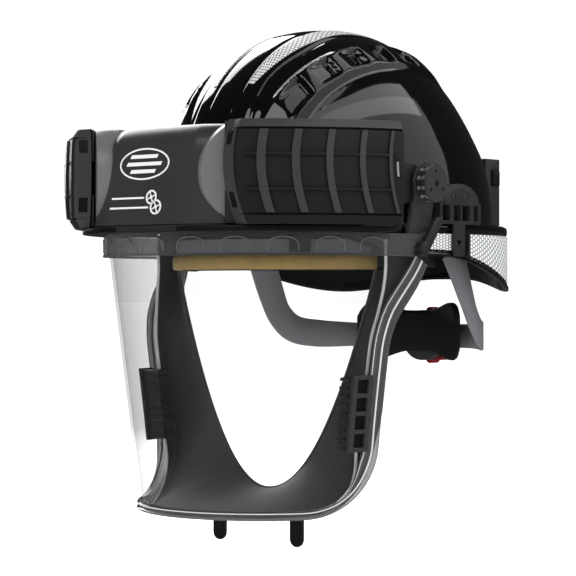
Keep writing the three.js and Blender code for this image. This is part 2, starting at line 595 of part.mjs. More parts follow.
function coverRail(z) {
  const section = [[-1, -1], [-1, 1], [RIB.height + 2.2, 1], [RIB.height + 2.2, -1]];
  const ring = (along) => section.map(([out, up]) => podPoint(along, coverDepth(along) + out, z + up));
  return loft(steps(12, FILTER.length - 8, 9).map(ring));
}
function filterCover() {
  const stations = [0, 3, 6, 9, 20, 35, 50, 65, 80, 95, 108, FILTER.length - 7];
  const skin = loft(stations.map((a) => coverRing(a, 0, 0.2)));
  const hollow = loft(steps(11, COVER.rear - 10, 9).map((a) => coverRing(a, -COVER.wall, -2)));
  const ribs = steps(0, RIB.count - 1, RIB.count - 1).map(coverRib);
  const rails = [22.8, 45].map(coverRail);
  const whole = [...ribs, ...rails].reduce((sum, piece) => sum.add(piece), skin.subtract(hollow));
  return whole.intersect(prism(podOutline(-12, COVER.rear, -3, 40, 12), -5, 80));
}
putPair("filter_cover", filterCover(), MATERIAL.cover);

// ---------------------------------------------------------------- brow housing
function browBlock(grow) {
  const { faceHalf, halfWidth, front, shoulder, rear } = HOUSING;
  const { base, top, bend } = HOUSING_SIDE;
  const half = [[0, front], [faceHalf, front + 0.6], [halfWidth, shoulder], [halfWidth + 14, rear - 8],
    [halfWidth + 8, rear]];
  const whole = [...half, ...half.slice(1).reverse().map(([x, y]) => [-x, y])];
  const plan = whole.map(([x, y]) => [x * (1 + grow / 60), y]);
  const rise = top + grow - bend;
  const round = steps(15, 84, 6).map((deg) => bend + rise * Math.sin(THREE.MathUtils.degToRad(deg)));
  // Each slice moves the whole plan back, so the face and its chamfers lean together.
  const rings = [...steps(base - grow, bend, 3), ...round].map((z) => {
    const above = Math.max(0, z - bend) / rise;
    const back = LEAN * Math.min(z - base, bend - base) + 22 * (1 - Math.sqrt(Math.max(0, 1 - above * above)));
    const narrow = 1 - 0.34 * (1 - Math.sqrt(Math.max(0, 1 - above ** 2.6)));
    return plan.map(([x, y]) => {
      const share = (rear - y) / (rear - front);
      return [x * narrow, y - grow * (share > 0.5 ? 1 : -1) + back * share, z];
    });
  });
  return loft(rings);
}
const podBlock = prism(podOutline(-4, FILTER.length, -3, 40, 8), -20, 90);
function powerHousing() {
  const hollow = browBlock(-HOUSING_SIDE.wall);
  const below = box(-52, 52, -176, -143, -10, 20).intersect(hollow.translate([0, 0, -14]).add(hollow));
  const backOpening = box(-48, 48, -150, -120, 8, 58);
  const neighbours = [drumSolid(1), mirrored(drumSolid(1)), podBlock, mirrored(podBlock)];
  const made = neighbours.reduce((rest, other) => rest.subtract(other), browBlock(0).subtract(hollow));
  const parts = made.subtract(below).subtract(backOpening).decompose();
  return parts.sort((a, b) => b.volume() - a.volume())[0];
}
put("power_housing", powerHousing(), MATERIAL.satin);
put("housing_rear_cover", box(-40, 40, HOUSING.rear + 0.3, HOUSING.rear + 2.6, 3, 63), MATERIAL.satin);
put("control_board", box(-24, 24, -160, -158.4, 14, 52), MATERIAL.board);

// The base plate closes the unit below and holds the visor band.
function basePlate() {
  const outer = steps(0, FILTER.length - 6, 10).map((a) => podPoint(a, 4, 0).slice(0, 2));
  const edge = [[0, -191], [40, -190.4], [62, -183.5], ...outer.slice(1)];
  const inner = steps(-62, 62, 20).map((deg) => {
    const a = THREE.MathUtils.degToRad(deg);
    return [118 * Math.sin(a), -145 * Math.cos(a)];
  });
  const right = edge.slice(1).map(([x, y]) => [-x, y]).reverse();
  const plate = prism([...right, ...edge, ...inner.reverse()], PLATE.low, PLATE.high - GAP);
  const duct = prism(roundedRectangle(-40, 40, -177, -153, 6), -20, 20);
  return plate.subtract(duct);
}
put("base_plate", basePlate(), MATERIAL.satin);

// ---------------------------------------------------------------- visor
// In plan the visor and the band are half an oval with straight ends. The visor narrows towards the chin.
function halfOval(arc, width, length, centreY) {
  const angle = Math.min(Math.abs(arc), Math.PI / 2);
  const past = Math.max(0, Math.abs(arc) - Math.PI / 2) * VISOR.straight;
  return [Math.sign(arc) * width * Math.sin(angle), centreY - length * Math.cos(angle) + past];
}
function visorPoint(arc, offset, z) {
  const t = (-20 - z) / 170;
  const width = 112 - 34 * t + 10 * t * t;
  const length = 117 - 8 * t - 10 * t * t;
  return [...halfOval(arc, width + offset, length + offset, VISOR.centreY), z];
}
function visorReach(z) {
  const { rearRun, straight, bottom, corner } = VISOR;
  const upper = Math.PI / 2 + (rearRun / straight) * smooth((z + 62) / 50);
  const lower = 0.1 * smooth((-30 - z) / 50);
  const up = Math.min(corner, Math.max(0, z - bottom));
  const cut = corner - Math.sqrt(corner ** 2 - (corner - up) ** 2);
  return upper - lower - cut / 84;
}
const cornerLevels = (first, last, count) => steps(first, last, count).map((deg) =>
  VISOR.bottom + VISOR.corner * (1 - Math.sin(THREE.MathUtils.degToRad(deg))));
const straightLevels = steps(BAND.low - 0.5, VISOR.bottom + VISOR.corner, 6);
const visorLevels = [...straightLevels, ...cornerLevels(15, 78, 5), VISOR.bottom];
function visorGrid(offset, levels, shrink = 0) {
  const row = (z) => steps(-1, 1, 20).map((u) => visorPoint(u * (visorReach(z) - shrink), offset, z));
  return levels.map(row);
}
function ventBlock(grow, inner, outer) {
  const width = VENT.half + grow;
  const column = (z) => {
    const centre = visorPoint(VENT.arc, 0, z);
    const ahead = visorPoint(VENT.arc + 0.02, 0, z);
    const length = Math.hypot(ahead[0] - centre[0], ahead[1] - centre[1]);
    const t = [(ahead[0] - centre[0]) / length, (ahead[1] - centre[1]) / length];
    const n = [t[1], -t[0]];
    const at = (w, o) => [centre[0] + t[0] * w + n[0] * o, centre[1] + t[1] * w + n[1] * o, z];
    return [at(-width, inner), at(width, inner), at(width, outer), at(-width, outer)];
  };
  return loft([VENT.low - grow, (VENT.low + VENT.high) / 2, VENT.high + grow].map(column));
}
function visorLens() {
  const lens = sheet(visorGrid(VISOR.thick, visorLevels), visorGrid(0, visorLevels));
  return lens.subtract(ventBlock(-1.5, -20, 20)).subtract(mirrored(ventBlock(-1.5, -20, 20)));
}
put("visor_lens", visorLens(), MATERIAL.clear);

// The vent clips through the visor: a frame with four windows outside and fins inside.
function exhaleVent() {
  let made = ventBlock(1.5, VISOR.thick + 0.4, VISOR.thick + 3).add(ventBlock(-2, -6, VISOR.thick + 1));
  const span = (VENT.high - VENT.low - 6) / 4;
  for (let i = 0; i < 4; i++) {
    const low = VENT.low + 3 + i * span + 1.5;
    const level = box(60, 130, -130, -40, low, low + span - 3);
    made = made.subtract(ventBlock(-3.5, -10, 10).intersect(level));
  }
  return made;
}
putPair("exhale_vent", exhaleVent(), MATERIAL.satin);

function rimPath() {
  const down = [...steps(BAND.low - 5, VISOR.bottom + VISOR.corner, 6), ...cornerLevels(12, 78, 6)];
  const left = down.map((z) => [visorReach(z), z]);
  const foot = visorReach(VISOR.bottom);
  const bottom = steps(foot, -foot, 16).map((arc) => [arc, VISOR.bottom]);
  return [...left, ...bottom, ...left.slice().reverse().map(([arc, z]) => [-arc, z])];
}
function rimFrames() {
  const path = rimPath();
  const points = path.map(([arc, z]) => new THREE.Vector3(...visorPoint(arc, VISOR.thick / 2, z)));
  return path.map(([arc, z], k) => {
    const centre = points[k];
    const ahead = points[Math.min(k + 1, path.length - 1)];
    const tangent = ahead.clone().sub(points[Math.max(k - 1, 0)]).normalize();
    const outward = new THREE.Vector3(...visorPoint(arc, 12, z)).sub(centre).normalize();
    outward.addScaledVector(tangent, -outward.dot(tangent)).normalize();
    return { centre, outward, edge: new THREE.Vector3().crossVectors(tangent, outward) };
  });
}
// The rim is a bead that clips round the visor's edge, and the face seal hangs from its inner side.
function visorRim() {
  const section = [[-2.6, -3.2], [6.2, -3.2], [7.5, -1.6], [7.5, 1.8], [6.2, 3.6], [-2.6, 3.6]];
  const ring = ({ centre, outward, edge }) => section.map(([e, o]) =>
    centre.clone().addScaledVector(edge, e).addScaledVector(outward, o).toArray());
  const levels = visorLevels.slice(0, -1).concat([VISOR.bottom - 0.4]);
  const groove = sheet(visorGrid(VISOR.thick + 0.4, levels, -0.005), visorGrid(-0.4, levels, -0.005));
  return loft(rimFrames().map(ring)).subtract(groove);
}
put("visor_rim", visorRim(), MATERIAL.clear);

// The seal is a soft sheet from the rim to the opening round the face, which is wide above and ends at the chin.
function sealOpening(share) {
  const s = Math.abs(share * 2 - 1);
  const x = Math.sign(1 - share * 2) * 90 * s ** 0.9;
  return [x, -69 + 6 * s, -178 + 150 * s ** 1.85];
}
function sealGrid(lift) {
  const frames = rimFrames();
  const last = frames.length - 1;
  return frames.map(({ centre, outward, edge }, k) => {
    const start = centre.clone().addScaledVector(outward, -5.2).addScaledVector(edge, -1);
    const end = new THREE.Vector3(...sealOpening(k / last));
    return steps(0, 1, 5).map((t) => {
      const p = start.clone().lerp(end, t);
      const belly = Math.sin(Math.PI * t) * 7;
      return [p.x, p.y + belly * 0.6 + lift * 0.9, p.z + belly * 0.15 - lift * 0.45];
    });
  });
}
put("face_seal", sheet(sealGrid(0), sealGrid(2)), MATERIAL.fabric);

function chinTab() {
  const outline = [[-6, -160], ...steps(180, 360, 8).map((d) => {
    const a = THREE.MathUtils.degToRad(d);
    return [6 * Math.cos(a), -210 + 6 * Math.sin(a)];
  }), [6, -160]];
  const turn = new THREE.Matrix4().makeRotationX(Math.PI / 2);
  const strap = prism(outline, -1.5, 1.5).transform(turn.elements).translate([35, -79, 0]);
  const parts = strap.subtract(sheet(sealGrid(-GAP), sealGrid(2 + GAP))).decompose();
  return parts.sort((a, b) => a.boundingBox().min[2] - b.boundingBox().min[2])[0];
}
putPair("chin_tab", chinTab(), MATERIAL.rubber);

// The brow seal stands in front of the headband, between the face seal's two upper ends. It stays with the helmet.
function browSeal() {
  const { halfWidth, frontY, endY, low, high, thick } = BROW;
  const at = (u, offset) => [halfWidth * u, frontY + (endY - frontY) * u * u - offset];
  const outside = steps(-1, 1, 18).map((u) => at(u, thick));
  const inside = steps(1, -1, 18).map((u) => at(u, 0));
  return prism([...outside, ...inside], low, high);
}
put("brow_seal", browSeal(), MATERIAL.foam);

// The clear band is screwed under the base plate; its ears reach up to the pivots.
function visorBand() {
  const { centreY, halfWidth, halfLength, low, high, thick, rearRun } = BAND;
  const reach = Math.PI / 2 + rearRun / VISOR.straight;
  const row = (z, offset) => steps(-1, 1, 30).map((u) => {
    const grow = offset + (z - low) * 0.02;
    return [...halfOval(u * reach, halfWidth + grow, halfLength + grow, centreY), z];
  });
  const grid = (offset) => [low, (low + high) / 2, high].map((z) => row(z, offset));
  const band = sheet(grid(thick), grid(0));
  const earTop = steps(15, 165, 8).map((deg) => {
    const a = THREE.MathUtils.degToRad(deg);
    return [PIVOT.y + 12 * Math.cos(a), PIVOT.z + 12 * Math.sin(a)];
  });
  const earOutline = [[-60, low], [-38, low], [-28, 4], [PIVOT.y + 12, PIVOT.z], ...earTop, [PIVOT.y - 12, PIVOT.z],
    [-56, 4]];
  const join = box(108.5, 115, -60, -40, low, high);
  const hole = rod([90, PIVOT.y, PIVOT.z], [1, 0, 0], 60, PIVOT.boltRadius + GAP, 20);
  const side = slab(earOutline, 108.5, 111.8).add(join).subtract(hole);
  return band.add(side).add(mirrored(side));
}
put("visor_band", visorBand(), MATERIAL.clear);

// The latch lever turns on the band and hooks over the shell's ledge.
function visorLatch() {
  const outline = [[-53, -18.5], [-44.5, -18.5], [-27, 4], [-27, 8], [-33, 8], [-36.5, 4]];
  const boss = rod([LATCH.inner, LATCH.y, LATCH.z], [1, 0, 0], 5, 4.5, 16);
  return slab(outline, LATCH.inner + 0.1, LATCH.outer).add(boss);
}
putPair("visor_latch", visorLatch(), MATERIAL.satin);

// ---------------------------------------------------------------- pivots
function pivotBolt() {
  const boss = rod([100, PIVOT.y, PIVOT.z], [1, 0, 0], 4.1, PIVOT.bossRadius, 24).subtract(shellKeepOut);
  const shank = rod([92, PIVOT.y, PIVOT.z], [1, 0, 0], 25, PIVOT.boltRadius, 20);
  const head = rod([90, PIVOT.y, PIVOT.z], [1, 0, 0], 9, 7, 20).intersect(shellSolid(-SHELL.wall - GAP));
  return boss.add(shank).add(head);
}
putPair("pivot_bolt", pivotBolt(), MATERIAL.steel);

function pivotKnob() {
  const { radius, inner, outer } = KNOB;
  const rim = rod([inner, PIVOT.y, PIVOT.z], [1, 0, 0], outer - inner, radius, 36);
  const notchAt = radius + 0.6;
  const notches = steps(0, 2 * Math.PI, 11).slice(0, -1).map((a) => {
    const from = [inner - 1, PIVOT.y + notchAt * Math.cos(a), PIVOT.z + notchAt * Math.sin(a)];
    return rod(from, [1, 0, 0], 20, 1.8, 8);
  });
  const bore = rod([inner - 1, PIVOT.y, PIVOT.z], [1, 0, 0], 6, PIVOT.boltRadius + 0.4, 20);
  return notches.reduce((sum, notch) => sum.subtract(notch), rim).subtract(bore);
}
putPair("pivot_knob", pivotKnob(), MATERIAL.satin);

export default model;
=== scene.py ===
"""The looks of a powered air respirator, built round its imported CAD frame. Shapes are worked out in millimetres and
made in metres: +Z is up, the wearer looks along -Y and the wearer's left is +X."""

import math

import bmesh
import bpy
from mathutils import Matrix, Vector


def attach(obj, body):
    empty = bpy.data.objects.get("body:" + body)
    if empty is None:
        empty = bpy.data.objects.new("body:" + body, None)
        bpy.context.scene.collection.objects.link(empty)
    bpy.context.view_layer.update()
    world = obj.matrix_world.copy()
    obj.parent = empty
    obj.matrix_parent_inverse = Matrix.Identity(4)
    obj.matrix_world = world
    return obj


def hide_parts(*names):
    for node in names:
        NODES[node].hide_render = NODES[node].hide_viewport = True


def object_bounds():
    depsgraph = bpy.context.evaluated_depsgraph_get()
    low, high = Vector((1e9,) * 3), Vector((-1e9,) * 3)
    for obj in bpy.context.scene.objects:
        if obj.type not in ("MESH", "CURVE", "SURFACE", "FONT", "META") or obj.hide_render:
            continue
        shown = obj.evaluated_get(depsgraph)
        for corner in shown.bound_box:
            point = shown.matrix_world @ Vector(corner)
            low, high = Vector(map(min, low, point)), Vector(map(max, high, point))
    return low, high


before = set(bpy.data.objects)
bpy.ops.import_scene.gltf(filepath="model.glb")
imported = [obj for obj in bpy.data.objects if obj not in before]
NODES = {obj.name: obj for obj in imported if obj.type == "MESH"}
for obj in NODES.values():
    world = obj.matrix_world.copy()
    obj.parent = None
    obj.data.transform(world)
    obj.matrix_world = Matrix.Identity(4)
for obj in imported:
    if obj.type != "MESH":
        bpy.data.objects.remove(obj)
CAD_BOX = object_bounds()
MM = 0.001

# ---- camera, lights and floor
AZIMUTH = math.radians(40)
CAMERA_DISTANCE = 1.5
CAMERA_SIDE = -0.030
CAMERA_HEIGHT = -0.0396
LENS = 130.3
FLOOR_Z, FLOOR_HALF, FLOOR_GLOW = CAD_BOX[0].z - 0.12, 30, 0.62
WORLD_SEEN, WORLD_IN_GLOSS, WORLD_ON_MATT = 1.1, 0.025, 0.6
LIGHTS = [  # name, azimuth, elevation, distance, size, brightness
    ("key", 6, 40, 2.2, (1.2, 0.9), 3.0),
    ("side", 103, 30, 2.2, (3.9, 1.8), 0.8),
    ("side_top", 106, 50, 2.3, (3.3, 0.7), 1.6),
    ("top", 120, 72, 2.3, (2.6, 0.7), 1.3),
    ("far_back", -116, 26, 2.4, (1.5, 2.0), 5.2),
]


def placed(name, data, location, back):
    """A new object there, looking away from the direction called back."""
    made = bpy.data.objects.new(name, data)
    bpy.context.collection.objects.link(made)
    made.location = location
    made.rotation_mode = "QUATERNION"
    made.rotation_quaternion = back.to_track_quat("Z", "Y")
    return made


def make_camera():
    back = Vector((math.sin(AZIMUTH), -math.cos(AZIMUTH), 0))
    right = Vector((math.cos(AZIMUTH), math.sin(AZIMUTH), 0))
    camera = bpy.data.cameras.new("camera")
    camera.lens = LENS
    camera.clip_end = 100
    location = back * CAMERA_DISTANCE + right * CAMERA_SIDE + Vector((0, 0, CAMERA_HEIGHT))
    bpy.context.scene.camera = placed("camera", camera, location, back)


class Graph:
    """A material's nodes, with short calls for the few kinds used here."""

    def __init__(self, name):
        self.material = bpy.data.materials.new(name)
        self.material.use_nodes = True
        self.tree = self.material.node_tree
        self.shader = self.tree.nodes["Principled BSDF"]

    def wire(self, node, inputs):
        """Links or sets a node's inputs, by name or number."""
        for key, value in inputs.items():
            if isinstance(value, bpy.types.NodeSocket):
                self.tree.links.new(value, node.inputs[key])
            else:
                node.inputs[key].default_value = value

    def node(self, kind, inputs=None, **settings):
        made = self.tree.nodes.new("ShaderNode" + kind)
        for key, value in settings.items():
            setattr(made, key, value)
        self.wire(made, inputs or {})
        return made

    def math(self, operation, *values):
        return self.node("Math", dict(enumerate(values)), operation=operation).outputs[0]

    def vector(self, operation, *values, output=0):
        return self.node("VectorMath", dict(enumerate(values)), operation=operation).outputs[output]

    def where(self, coordinate="Object"):
        return self.node("TexCoord").outputs[coordinate]

    def noise(self, scale, detail=2.0):
        return self.node("TexNoise", {"Vector": self.where(), "Scale": scale, "Detail": detail}).outputs["Fac"]

    def spread(self, value, low, high):
        """A value from 0 to 1 mapped to a range."""
        return self.node("MapRange", {"Value": value, "To Min": low, "To Max": high}).outputs["Result"]

    def colours(self, factor, dark, light):
        mix = {"Factor": factor, "A": (*dark, 1), "B": (*light, 1)}
        return self.node("Mix", mix, data_type="RGBA").outputs["Result"]

    def shades(self, factor, colour, low, high):
        """From low to high times a colour."""
        return self.colours(factor, [c * low for c in colour], [c * high for c in colour])

    def bump(self, height, strength, distance):
        return self.node("Bump", {"Height": height, "Strength": strength, "Distance": distance}).outputs["Normal"]

    def put(self, **values):
        """Links or sets the shader's own sockets, and gives the material. An underscore stands for a space."""
        self.wire(self.shader, {socket.replace("_", " "): value for socket, value in values.items()})
        return self.material

    def choose(self, factor, zero, one):
        """Shows a mix of two shaders."""
        mix = self.node("MixShader", {0: factor, 1: zero, 2: one})
        self.wire(self.tree.nodes["Material Output"], {"Surface": mix.outputs[0]})


def area_light(name, azimuth, elevation, distance, size, brightness):
    """A soft box on that side, which looks brightness times as bright as white paper."""
    a, e = math.radians(azimuth), math.radians(elevation)
    back = Vector((math.sin(a) * math.cos(e), -math.cos(a) * math.cos(e), math.sin(e)))
    light = bpy.data.lights.new(name, "AREA")
    light.shape = "RECTANGLE"
    light.size, light.size_y = size
    light.energy = brightness * math.pi * size[0] * size[1]
    placed(name, light, back * distance, back)


def make_stage():
    """A white floor that glows a little, and looks dark in gloss."""
    mesh = bpy.data.meshes.new("floor")
    corners = ((-1, -1), (1, -1), (1, 1), (-1, 1))
    mesh.from_pydata([(x * FLOOR_HALF, y * FLOOR_HALF, FLOOR_Z) for x, y in corners], [], [(0, 1, 2, 3)])
    floor = bpy.data.objects.new("floor", mesh)
    bpy.context.collection.objects.link(floor)
    g = Graph("floor")
    g.put(Base_Color=(0.93, 0.93, 0.93, 1), Roughness=0.9, Specular_IOR_Level=0)
    g.put(Emission_Color=(1, 1, 1, 1), Emission_Strength=FLOOR_GLOW)
    dark = g.node("BsdfDiffuse", {"Color": (0.05, 0.05, 0.05, 1)})
    g.choose(g.node("LightPath").outputs["Is Glossy Ray"], g.shader.outputs[0], dark.outputs[0])
    mesh.materials.append(g.material)


def make_world():
    """White to the eye, softer to matt surfaces, and dark in gloss, so that only the soft boxes show in the shell."""
    world = bpy.data.worlds.new("studio")
    bpy.context.scene.world = world
    world.use_nodes = True
    nodes, links = world.node_tree.nodes, world.node_tree.links
    path = nodes.new("ShaderNodeLightPath")
    seen = nodes["Background"].inputs["Color"]
    for ray, level in (("Is Camera Ray", WORLD_SEEN), ("Is Glossy Ray", WORLD_IN_GLOSS)):
        mix = nodes.new("ShaderNodeMix")
        mix.data_type = "RGBA"
        links.new(path.outputs[ray], mix.inputs["Factor"])
        mix.inputs["B"].default_value = (level, level, level, 1)
        links.new(mix.outputs["Result"], seen)
        seen = mix.inputs["A"]
    seen.default_value = (WORLD_ON_MATT, WORLD_ON_MATT, WORLD_ON_MATT, 1)


make_camera()
make_world()
make_stage()
for light in LIGHTS:
    area_light(*light)
bpy.context.scene.view_settings.view_transform = "Standard"


# ---- materials
def moulded(name, colour, roughness, grain=2600, depth=0.00006, vary=0.12, spread=0.06, **sockets):
    """Moulded plastic or rubber: a fine grain, patches of slightly different gloss, and a drifting colour."""
    g = Graph(name)
    patches = g.noise(45, 3)
    return g.put(Base_Color=g.shades(patches, colour, 1 - vary, 1 + vary),
                 Roughness=g.spread(patches, roughness - spread, roughness + spread),
                 Normal=g.bump(g.noise(grain), 0.35, depth),
                 Specular_IOR_Level=0.3 if roughness > 0.2 else 0.5, **sockets)


def woven(name, colour, pitch, depth, roughness=0.85, sheen=0.25):
    """Cloth with warp and weft from two crossed waves, and fuzz from noise."""
    g = Graph(name)
    wave = {"Vector": g.where(), "Scale": 1 / pitch, "Distortion": 0.4}
    threads = [g.node("TexWave", wave, bands_direction=axis).outputs["Fac"] for axis in ("DIAGONAL", "Z")]
    fuzz = g.math("MULTIPLY_ADD", g.noise(900, 3), 0.4, g.math("MULTIPLY", *threads))
    return g.put(Base_Color=g.shades(fuzz, colour, 0.75, 1.25), Normal=g.bump(fuzz, 0.5, depth),
                 Roughness=roughness, Sheen_Weight=sheen)


def foam(name, colour):
    """Open-cell foam: small pits and a mottled colour."""
    g = Graph(name)
    cells = g.node("TexVoronoi", {"Vector": g.where(), "Scale": 900}).outputs["Distance"]
    return g.put(Base_Color=g.shades(g.noise(120, 3), colour, 0.8, 1.2), Normal=g.bump(cells, 0.6, 0.0003),
                 Roughness=0.9)


def metal(name, colour, roughness):
    """Turned steel with fine brushing."""
    g = Graph(name)
    brush = g.noise(700, 4)
    return g.put(Roughness=g.spread(brush, roughness - 0.08, roughness + 0.12), Metallic=1,
                 Base_Color=g.shades(brush, colour, 0.9, 1), Normal=g.bump(brush, 0.2, 0.00003))


def clear(name, body, tint, facing, edge, roughness=0.04):
    """Clear plastic: see-through face on, glossy and body-coloured towards its edges. Fine scuffs vary its gloss."""
    g = Graph(name)
    scuffs = g.noise(160, 5)
    through = g.node("BsdfTransparent", {"Color": (tint, tint, tint, 1)}).outputs[0]
    blend = g.node("LayerWeight", {"Blend": 0.35}).outputs["Facing"]
    g.choose(g.spread(blend, facing, edge), through, g.shader.outputs[0])
    return g.put(Base_Color=(body, body, body * 1.03, 1), Roughness=g.spread(scuffs, roughness, roughness + 0.05),
                 Normal=g.bump(scuffs, 0.05, 0.00005))


def honeycomb(name, pitch):
    """Reflective sheet: pale cells in a grey hexagonal net, read from the sheet's own UV in millimetres."""
    g = Graph(name)
    step = (1.0, math.sqrt(3), 1.0)
    half = (0.5, math.sqrt(3) / 2, 0)
    at = g.vector("MULTIPLY", g.where("UV"), (1 / pitch, 1 / pitch, 0))
    one, two = (g.vector("SUBTRACT", g.vector("MODULO", spot, step), half) for spot in (at, g.vector("ADD", at, half)))
    nearer = g.math("LESS_THAN", g.vector("LENGTH", one, output=1), g.vector("LENGTH", two, output=1))
    pick = g.node("Mix", {"Factor": nearer, 4: two, 5: one}, data_type="VECTOR")
    cell = g.vector("ABSOLUTE", pick.outputs[1])
    slant = g.vector("DOT_PRODUCT", cell, half, output=1)
    reach = g.math("MAXIMUM", slant, g.node("SeparateXYZ", {0: cell}).outputs[0])
    line = g.node("MapRange", {"Value": reach, "From Min": 0.35, "From Max": 0.41}).outputs["Result"]
    return g.put(Base_Color=g.colours(line, (0.76, 0.77, 0.78), (0.11, 0.11, 0.12)), Normal=g.bump(line, 0.4, 0.0001),
                 Roughness=0.38)


GLOSS = moulded("gloss_shell", (0.0025, 0.0025, 0.003), 0.06, grain=500, depth=0.000004, spread=0.02, Coat_Weight=0.2)
SATIN = moulded("satin_black", (0.02, 0.02, 0.0215), 0.36)
# Near-black for deep black parts, and as painted shade in slots, windows and holes.
DEEP_AND_SHADE = moulded("deep_black_and_painted_shade", (0.004, 0.004, 0.0045), 0.5)
HOUSING = moulded("housing_black", (0.03, 0.03, 0.032), 0.3, grain=1800)
# The black fan drum is drawn pale grey: painted highlight for the light its rounded edge reflects.
DRUM = moulded("fan_painted_sheen_grey", (0.13, 0.13, 0.135), 0.3)
COVER = moulded("cover_black", (0.0105, 0.0105, 0.0115), 0.4, grain=1400, depth=0.0001)
# Paler grey for the filter cover's ribs, front facets and top chamfer: painted highlight where the lamps fall on them.
LIT_FACE_GREY = moulded("painted_lit_grey", (0.036, 0.036, 0.038), 0.34)
# Grey, also put on the knob's notches as painted highlight and on the brow web as painted light.
GREY = moulded("grey_plastic", (0.21, 0.21, 0.225), 0.42)
ARM_GREY = moulded("arm_grey", (0.13, 0.13, 0.14), 0.45)
RED = moulded("red_plastic", (0.14, 0.002, 0.006), 0.3)
RUBBER = moulded("rubber_black", (0.007, 0.007, 0.0075), 0.6, grain=900, depth=0.0002)
WHITE = moulded("printed_white", (0.75, 0.75, 0.76), 0.5, vary=0.04)
BLUE = moulded("battery_sleeve", (0.08, 0.2, 0.42), 0.35)
BOARD = moulded("circuit_board", (0.02, 0.16, 0.06), 0.3)
SEAL = woven("seal_fabric", (0.046, 0.045, 0.047), 0.0016, 0.0002)
GASKET = woven("gasket_cloth", (0.018, 0.018, 0.019), 0.0016, 0.0001)
WEBBING = woven("webbing", (0.03, 0.03, 0.032), 0.0024, 0.0004)
PAPER = woven("filter_paper", (0.8, 0.78, 0.71), 0.0012, 0.0001, sheen=0)
FOAM = foam("amber_foam", (0.25, 0.175, 0.06))
STEEL = metal("turned_steel", (0.62, 0.62, 0.64), 0.25)
SHEET = honeycomb("reflective_sheet", 3.5)
LENS_CLEAR = clear("visor_clear", 0.02, 0.985, 0.012, 0.3)
RIM_CLEAR = clear("rim_clear", 0.1, 0.78, 0.4, 1.0)
BAND_CLEAR = clear("band_clear", 0.11, 0.8, 0.2, 0.85)
EAR_CLEAR = clear("ear_clear", 0.07, 0.7, 0.25, 0.8, roughness=0.14)
# Near-white clear for fine lines and beads: painted highlight.
HIGHLIGHT_CLEAR = clear("painted_highlight_clear", 0.75, 0.95, 0.8, 1.0)


# ---- mesh making
def smooth(t):
    c = min(1, max(0, t))
    return c * c * (3 - 2 * c)


def steps(start, end, count):
    return [start + (end - start) * i / count for i in range(count + 1)]


def turns(count):
    """(cos, sin) at even steps round a circle."""
    return [(math.cos(2 * math.pi * i / count), math.sin(2 * math.pi * i / count)) for i in range(count)]


def arc(start, end, count):
    """(cos, sin) of the angles between two, in degrees."""
    return [(math.cos(math.radians(d)), math.sin(math.radians(d))) for d in steps(start, end, count)]


def squared(value, power):
    """A power that keeps the sign. Below 1 it squares off a circle."""
    return math.copysign(abs(value) ** power, value)


def direction(points, k):
    """The way a row of points runs at number k."""
    return (points[min(k + 1, len(points) - 1)] - points[max(k - 1, 0)]).normalized()


def grid(rows, closed=False, wrap=False):
    """(points, faces) through rows of points. closed joins each row's ends, wrap the first and last row."""
    count = len(rows[0])
    points = [p for row in rows for p in row]
    across = count if closed else count - 1
    down = len(rows) if wrap else len(rows) - 1
    at = lambda r, c: (r % len(rows)) * count + c % count
    return points, [(at(r, c), at(r, c + 1), at(r + 1, c + 1), at(r + 1, c))
                    for r in range(down) for c in range(across)]


def loft(rings):
    """(points, faces) of a closed skin through rings of points, with flat ends."""
    points, faces = grid(rings, closed=True)
    count, last = len(rings[0]), len(points) - 1
    return points, faces + [tuple(range(count)), tuple(range(last, last - count, -1))]


def plate(front, back):
    """(points, faces) of a curved sheet with a thickness, between two grids of the same size."""
    rows, columns = len(front), len(front[0])
    points, faces = grid(front)
    far, far_faces = grid(back)
    start = len(points)
    faces += [tuple(start + i for i in reversed(f)) for f in far_faces]
    border = [(0, c) for c in range(columns)] + [(r, columns - 1) for r in range(1, rows)]
    border += [(rows - 1, c) for c in range(columns - 2, -1, -1)] + [(r, 0) for r in range(rows - 2, 0, -1)]
    ring = [r * columns + c for r, c in border]
    for i, a in enumerate(ring):
        b = ring[(i + 1) % len(ring)]
        faces.append((b, a, start + a, start + b))
    return points + far, faces


def slab(point, across, down, front, back):
    """A plate through point(u, v, offset) over two lists, from one offset to another."""
    return plate(*([[point(u, v, offset) for u in across] for v in down] for offset in (front, back)))


def joined(parts):
    points, faces = [], []
    for part_points, part_faces in parts:
        start = len(points)
        points += part_points
        faces += [tuple(start + i for i in f) for f in part_faces]
    return points, faces


def flipped(part):
    """The same shape for the wearer's right."""
    points, faces = part
    return [(-x, y, z) for x, y, z in points], [tuple(reversed(f)) for f in faces]


def piece(name, part, material, body, slot, replaces=(), sharp=38, bevel=0.0, second=None):
    """A named object from a shape in millimetres. second is (material, test) for faces whose middle passes the test."""
    points, faces = part
    mesh = bpy.data.meshes.new(name)
    mesh.from_pydata([(x * MM, y * MM, z * MM) for x, y, z in points], [], faces)
    shape = bmesh.new()
    shape.from_mesh(mesh)
    bmesh.ops.recalc_face_normals(shape, faces=shape.faces)
    shape.to_mesh(mesh)
    shape.free()
    mesh.materials.append(material)
    if second:
        mesh.materials.append(second[0])
        for polygon in mesh.polygons:
            polygon.material_index = int(second[1](polygon.center / MM))
    mesh.shade_smooth()
    mesh.set_sharp_from_angle(angle=math.radians(sharp))
    made = bpy.data.objects.new(name, mesh)
    bpy.context.collection.objects.link(made)
    if bevel:
        soften(made, bevel)
    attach(made, body)
    if replaces:
        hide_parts(*replaces)
    return made


def soften(made, width):
    """Rounds an object's edges by that many millimetres."""
    bevel = made.modifiers.new("rounded edges", "BEVEL")
    bevel.width = width * MM
    bevel.segments = 2
    bevel.limit_method = "ANGLE"
    bevel.angle_limit = math.radians(30)
    bevel.harden_normals = True


